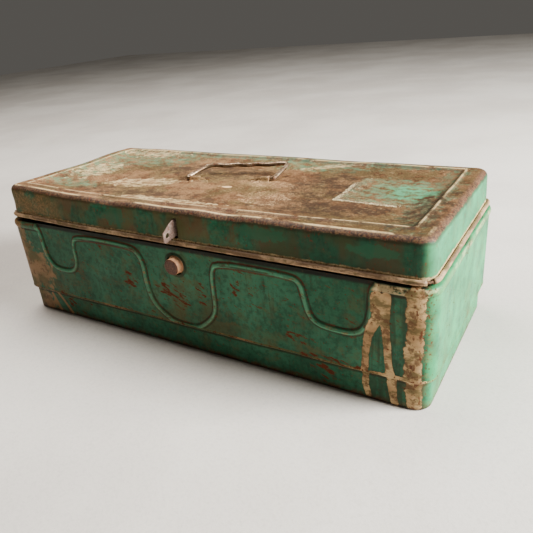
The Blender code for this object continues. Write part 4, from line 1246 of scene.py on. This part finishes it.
def make_leaf():
    """The spring leaf behind the front, which bends when the button is pressed."""
    sides = heights(LEAF_FOOT, 117, 1.5)
    outline = [(LEAF_HALF, z) for z in sides]
    outline += [(7.4, 118.4), (TONGUE_X + 0.6, TONGUE_FOOT - 0.2), (TONGUE_X + 0.6, TONGUE_TOP)]
    outline += [(-6.6, TONGUE_TOP), (-LEAF_HALF, 133.8), (-LEAF_HALF, 126)]
    outline += [(-LEAF_HALF, z) for z in reversed(sides)]
    holes = [((BUTTON.x, BUTTON.z), 2.3), ((-4.5, 43), 1.7), ((4.5, 43), 1.7)]
    points, faces = plate(
        outline, lambda u, v: (u, 0, v), holes, (0, 1, 0), LEAF_Y - LEAF_SHEET / 2, LEAF_SHEET
    )
    leaf = add_piece("catch_leaf", points, faces, None, "catch_steel", ["catch_spring"], smooth=30)
    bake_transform(leaf)


def make_tongue():
    """The leaf's upper end, turned forwards through the lid's slot, with a padlock hole."""
    tip = FRONT - TONGUE_REACH
    neck = LEAF_Y - 0.5
    round_end = 1.7
    outline = [(neck, TONGUE_FOOT), (FRONT - 1.5, TONGUE_FOOT), (tip + 2 * round_end, 117.9)]
    outline += arc((tip + round_end, 119.6), round_end, 270, -90, 4)
    outline += arc((tip + round_end, 126.2), round_end, 180, -50, 4)
    outline += [(FRONT - 1, 133.4), (FRONT + 3, 134.8), (neck, TONGUE_TOP)]
    padlock_hole = ((FRONT - 6.4, 123.9), 2.5)
    points, faces = plate(
        outline, lambda u, v: (0, u, v), [padlock_hole], (1, 0, 0),
        TONGUE_X - TONGUE_SHEET / 2, TONGUE_SHEET
    )
    tongue = add_piece("tongue", points, faces, "catch", "catch_steel", smooth=30)
    soften(tongue, 0.3)


def make_button():
    """The turned button, with its flange inside the wall and its tenon through the leaf."""
    face, flange, tenon = BUTTON_PROUD, -1.5, -7.1
    profile = [(0, face - 0.3), (3, face - 0.2), (5.6, face)]
    profile += [(6.8, face - 0.05), (7.4, face - 0.35), (7.7, face - 0.8)]
    profile += [(BUTTON_RADIUS, face - 1.3), (BUTTON_RADIUS, 2), (BUTTON_RADIUS, flange)]
    profile += [(10.5, flange - 1.7), (10.5, flange - 2.6), (4, flange - 2.6), (4, tenon)]
    profile += [(2, tenon - 0.1), (2, -9.9), (2.8, -10), (2.4, -10.8), (0, -11)]
    points, faces = lathe(profile, BUTTON, (0, -1, 0), 56)
    button = add_piece("button", points, faces, "catch", "button_steel", ["push_button"], smooth=50)
    edit_mesh(button.data, close_poles)


def make_bracket():
    """The hat-shaped strip welded inside the pressed front, under the leaf."""
    wall, land = FRONT + EMBOSS_DEPTH + SHEET + 1.6, LEAF_Y - 1.2
    section = [(wall, 32.5), (wall, 35.6), (land, 38), (land, 48), (wall, 51), (wall, 56)]
    section = rounded(section)
    widths = heights(-10, 10, 1)
    points = [(x, y, z) for y, z in section for x in widths]
    faces = ring_faces(len(section), len(widths), lambda row, i: i == len(widths) - 1)
    strip = add_piece("bracket", points, faces, "box", "catch_steel", ["spring_bracket"])
    thicken(strip, 0.8)


def close_poles(bm):
    """Joins the points that a turned shape's profile puts on its own axis."""
    bmesh.ops.remove_doubles(bm, verts=bm.verts, dist=0.01 * MM)


def at(x, y, z):
    return Vector((x, y + BODY_Y, z)) * MM


# Floor, light and camera -----------------------------------------------------------------


def make_floor():
    shader = Shader("floor", roughness=0.85)
    cloud = shader.noise(260, seed=81)
    grain = shader.noise(2.6, detail=5, rough=0.7, seed=82)
    colour = shader.over(tone(190, 182, 174), tone(203, 196, 188), cloud.rise(0.35, 0.65))
    colour = colour.shade(grain.rise(0.45, 0.7), 0.9)
    finish = shader.finish(colour, None, grain, bump=0.3, depth=0.6)
    mesh = bpy.data.meshes.new("floor")
    edit_mesh(mesh, lambda bm: bmesh.ops.create_grid(bm, x_segments=8, y_segments=8, size=4))
    mesh.materials.append(finish)
    floor = add_object("floor", mesh)
    floor.location.z = cad_box[0].z - 0.0002


def add_light(name, place, aim, width, power, colour):
    light = bpy.data.lights.new(name, "AREA")
    light.shape = "DISK"
    light.size = width
    light.energy = power
    light.color = colour
    lamp = add_object(name, light)
    lamp.location = place
    lamp.rotation_euler = (Vector(aim) - Vector(place)).to_track_quat("-Z", "Y").to_euler()


def light_scene():
    world = bpy.data.worlds.new("studio")
    bpy.context.scene.world = world
    world.use_nodes = True
    background = world.node_tree.nodes["Background"]
    background.inputs["Color"].default_value = ROOM_COLOUR
    background.inputs["Strength"].default_value = ROOM_STRENGTH
    for lamp in LAMPS:
        add_light(*lamp)


def add_camera():
    data = bpy.data.cameras.new("camera")
    data.sensor_width = 36
    data.lens = CAMERA_LENS
    camera = add_object("camera", data)
    aim = Matrix.Identity(4)
    for angle, axis in ((CAMERA_TURN, "Z"), (CAMERA_TILT, "X"), (CAMERA_ROLL, "Z")):
        aim = aim @ Matrix.Rotation(math.radians(angle), 4, axis)
    camera.matrix_world = Matrix.Translation(at(*CAMERA_PLACE)) @ aim
    bpy.context.scene.camera = camera


# Making ----------------------------------------------------------------------------------

add_camera()
make_floor()
light_scene()

lid_rows, lid_starts = lid_section()
lid_marks = {name: section_lengths(lid_rows)[row] for name, row in lid_starts.items()}
lid_marks["panel"] = section_lengths(lid_rows)[-1]
FINISHES = {
    "body_paint": body_paint(),
    "lid_paint": lid_paint(lid_marks),
    "pan_paint": pan_paint("pan_paint"),
    "handle_steel": worn_steel(
        "handle_steel", tone(150, 128, 104), tone(84, 64, 46), RUST, rough=0.3, metallic=0.85
    ),
    "catch_steel": worn_steel("catch_steel", tone(166, 142, 130), tone(116, 92, 82), RUST),
    "button_steel": button_steel(),
    "hinge_steel": worn_steel(
        "hinge_steel", tone(84, 122, 102), tone(84, 74, 60), RUST, rough=0.55, metallic=0.15
    ),
    "rivet_steel": worn_steel("rivet_steel", tone(150, 138, 128), tone(96, 78, 66), RUST),
    "edge_wire_steel": worn_steel("edge_wire_steel", tone(130, 104, 88), BROWN, DARK_RUST_AND_SHADE),
}

make_body()
make_lid()
make_edge_wire()
make_handle_bosses()
make_handle()
make_leaf()
make_tongue()
make_button()
make_bracket()

for part in frame["record"]["subparts"]:
    node = frame["nodes"][part["node"]]
    node.data.materials.clear()
    node.data.materials.append(FINISHES[part["material_slot"]])
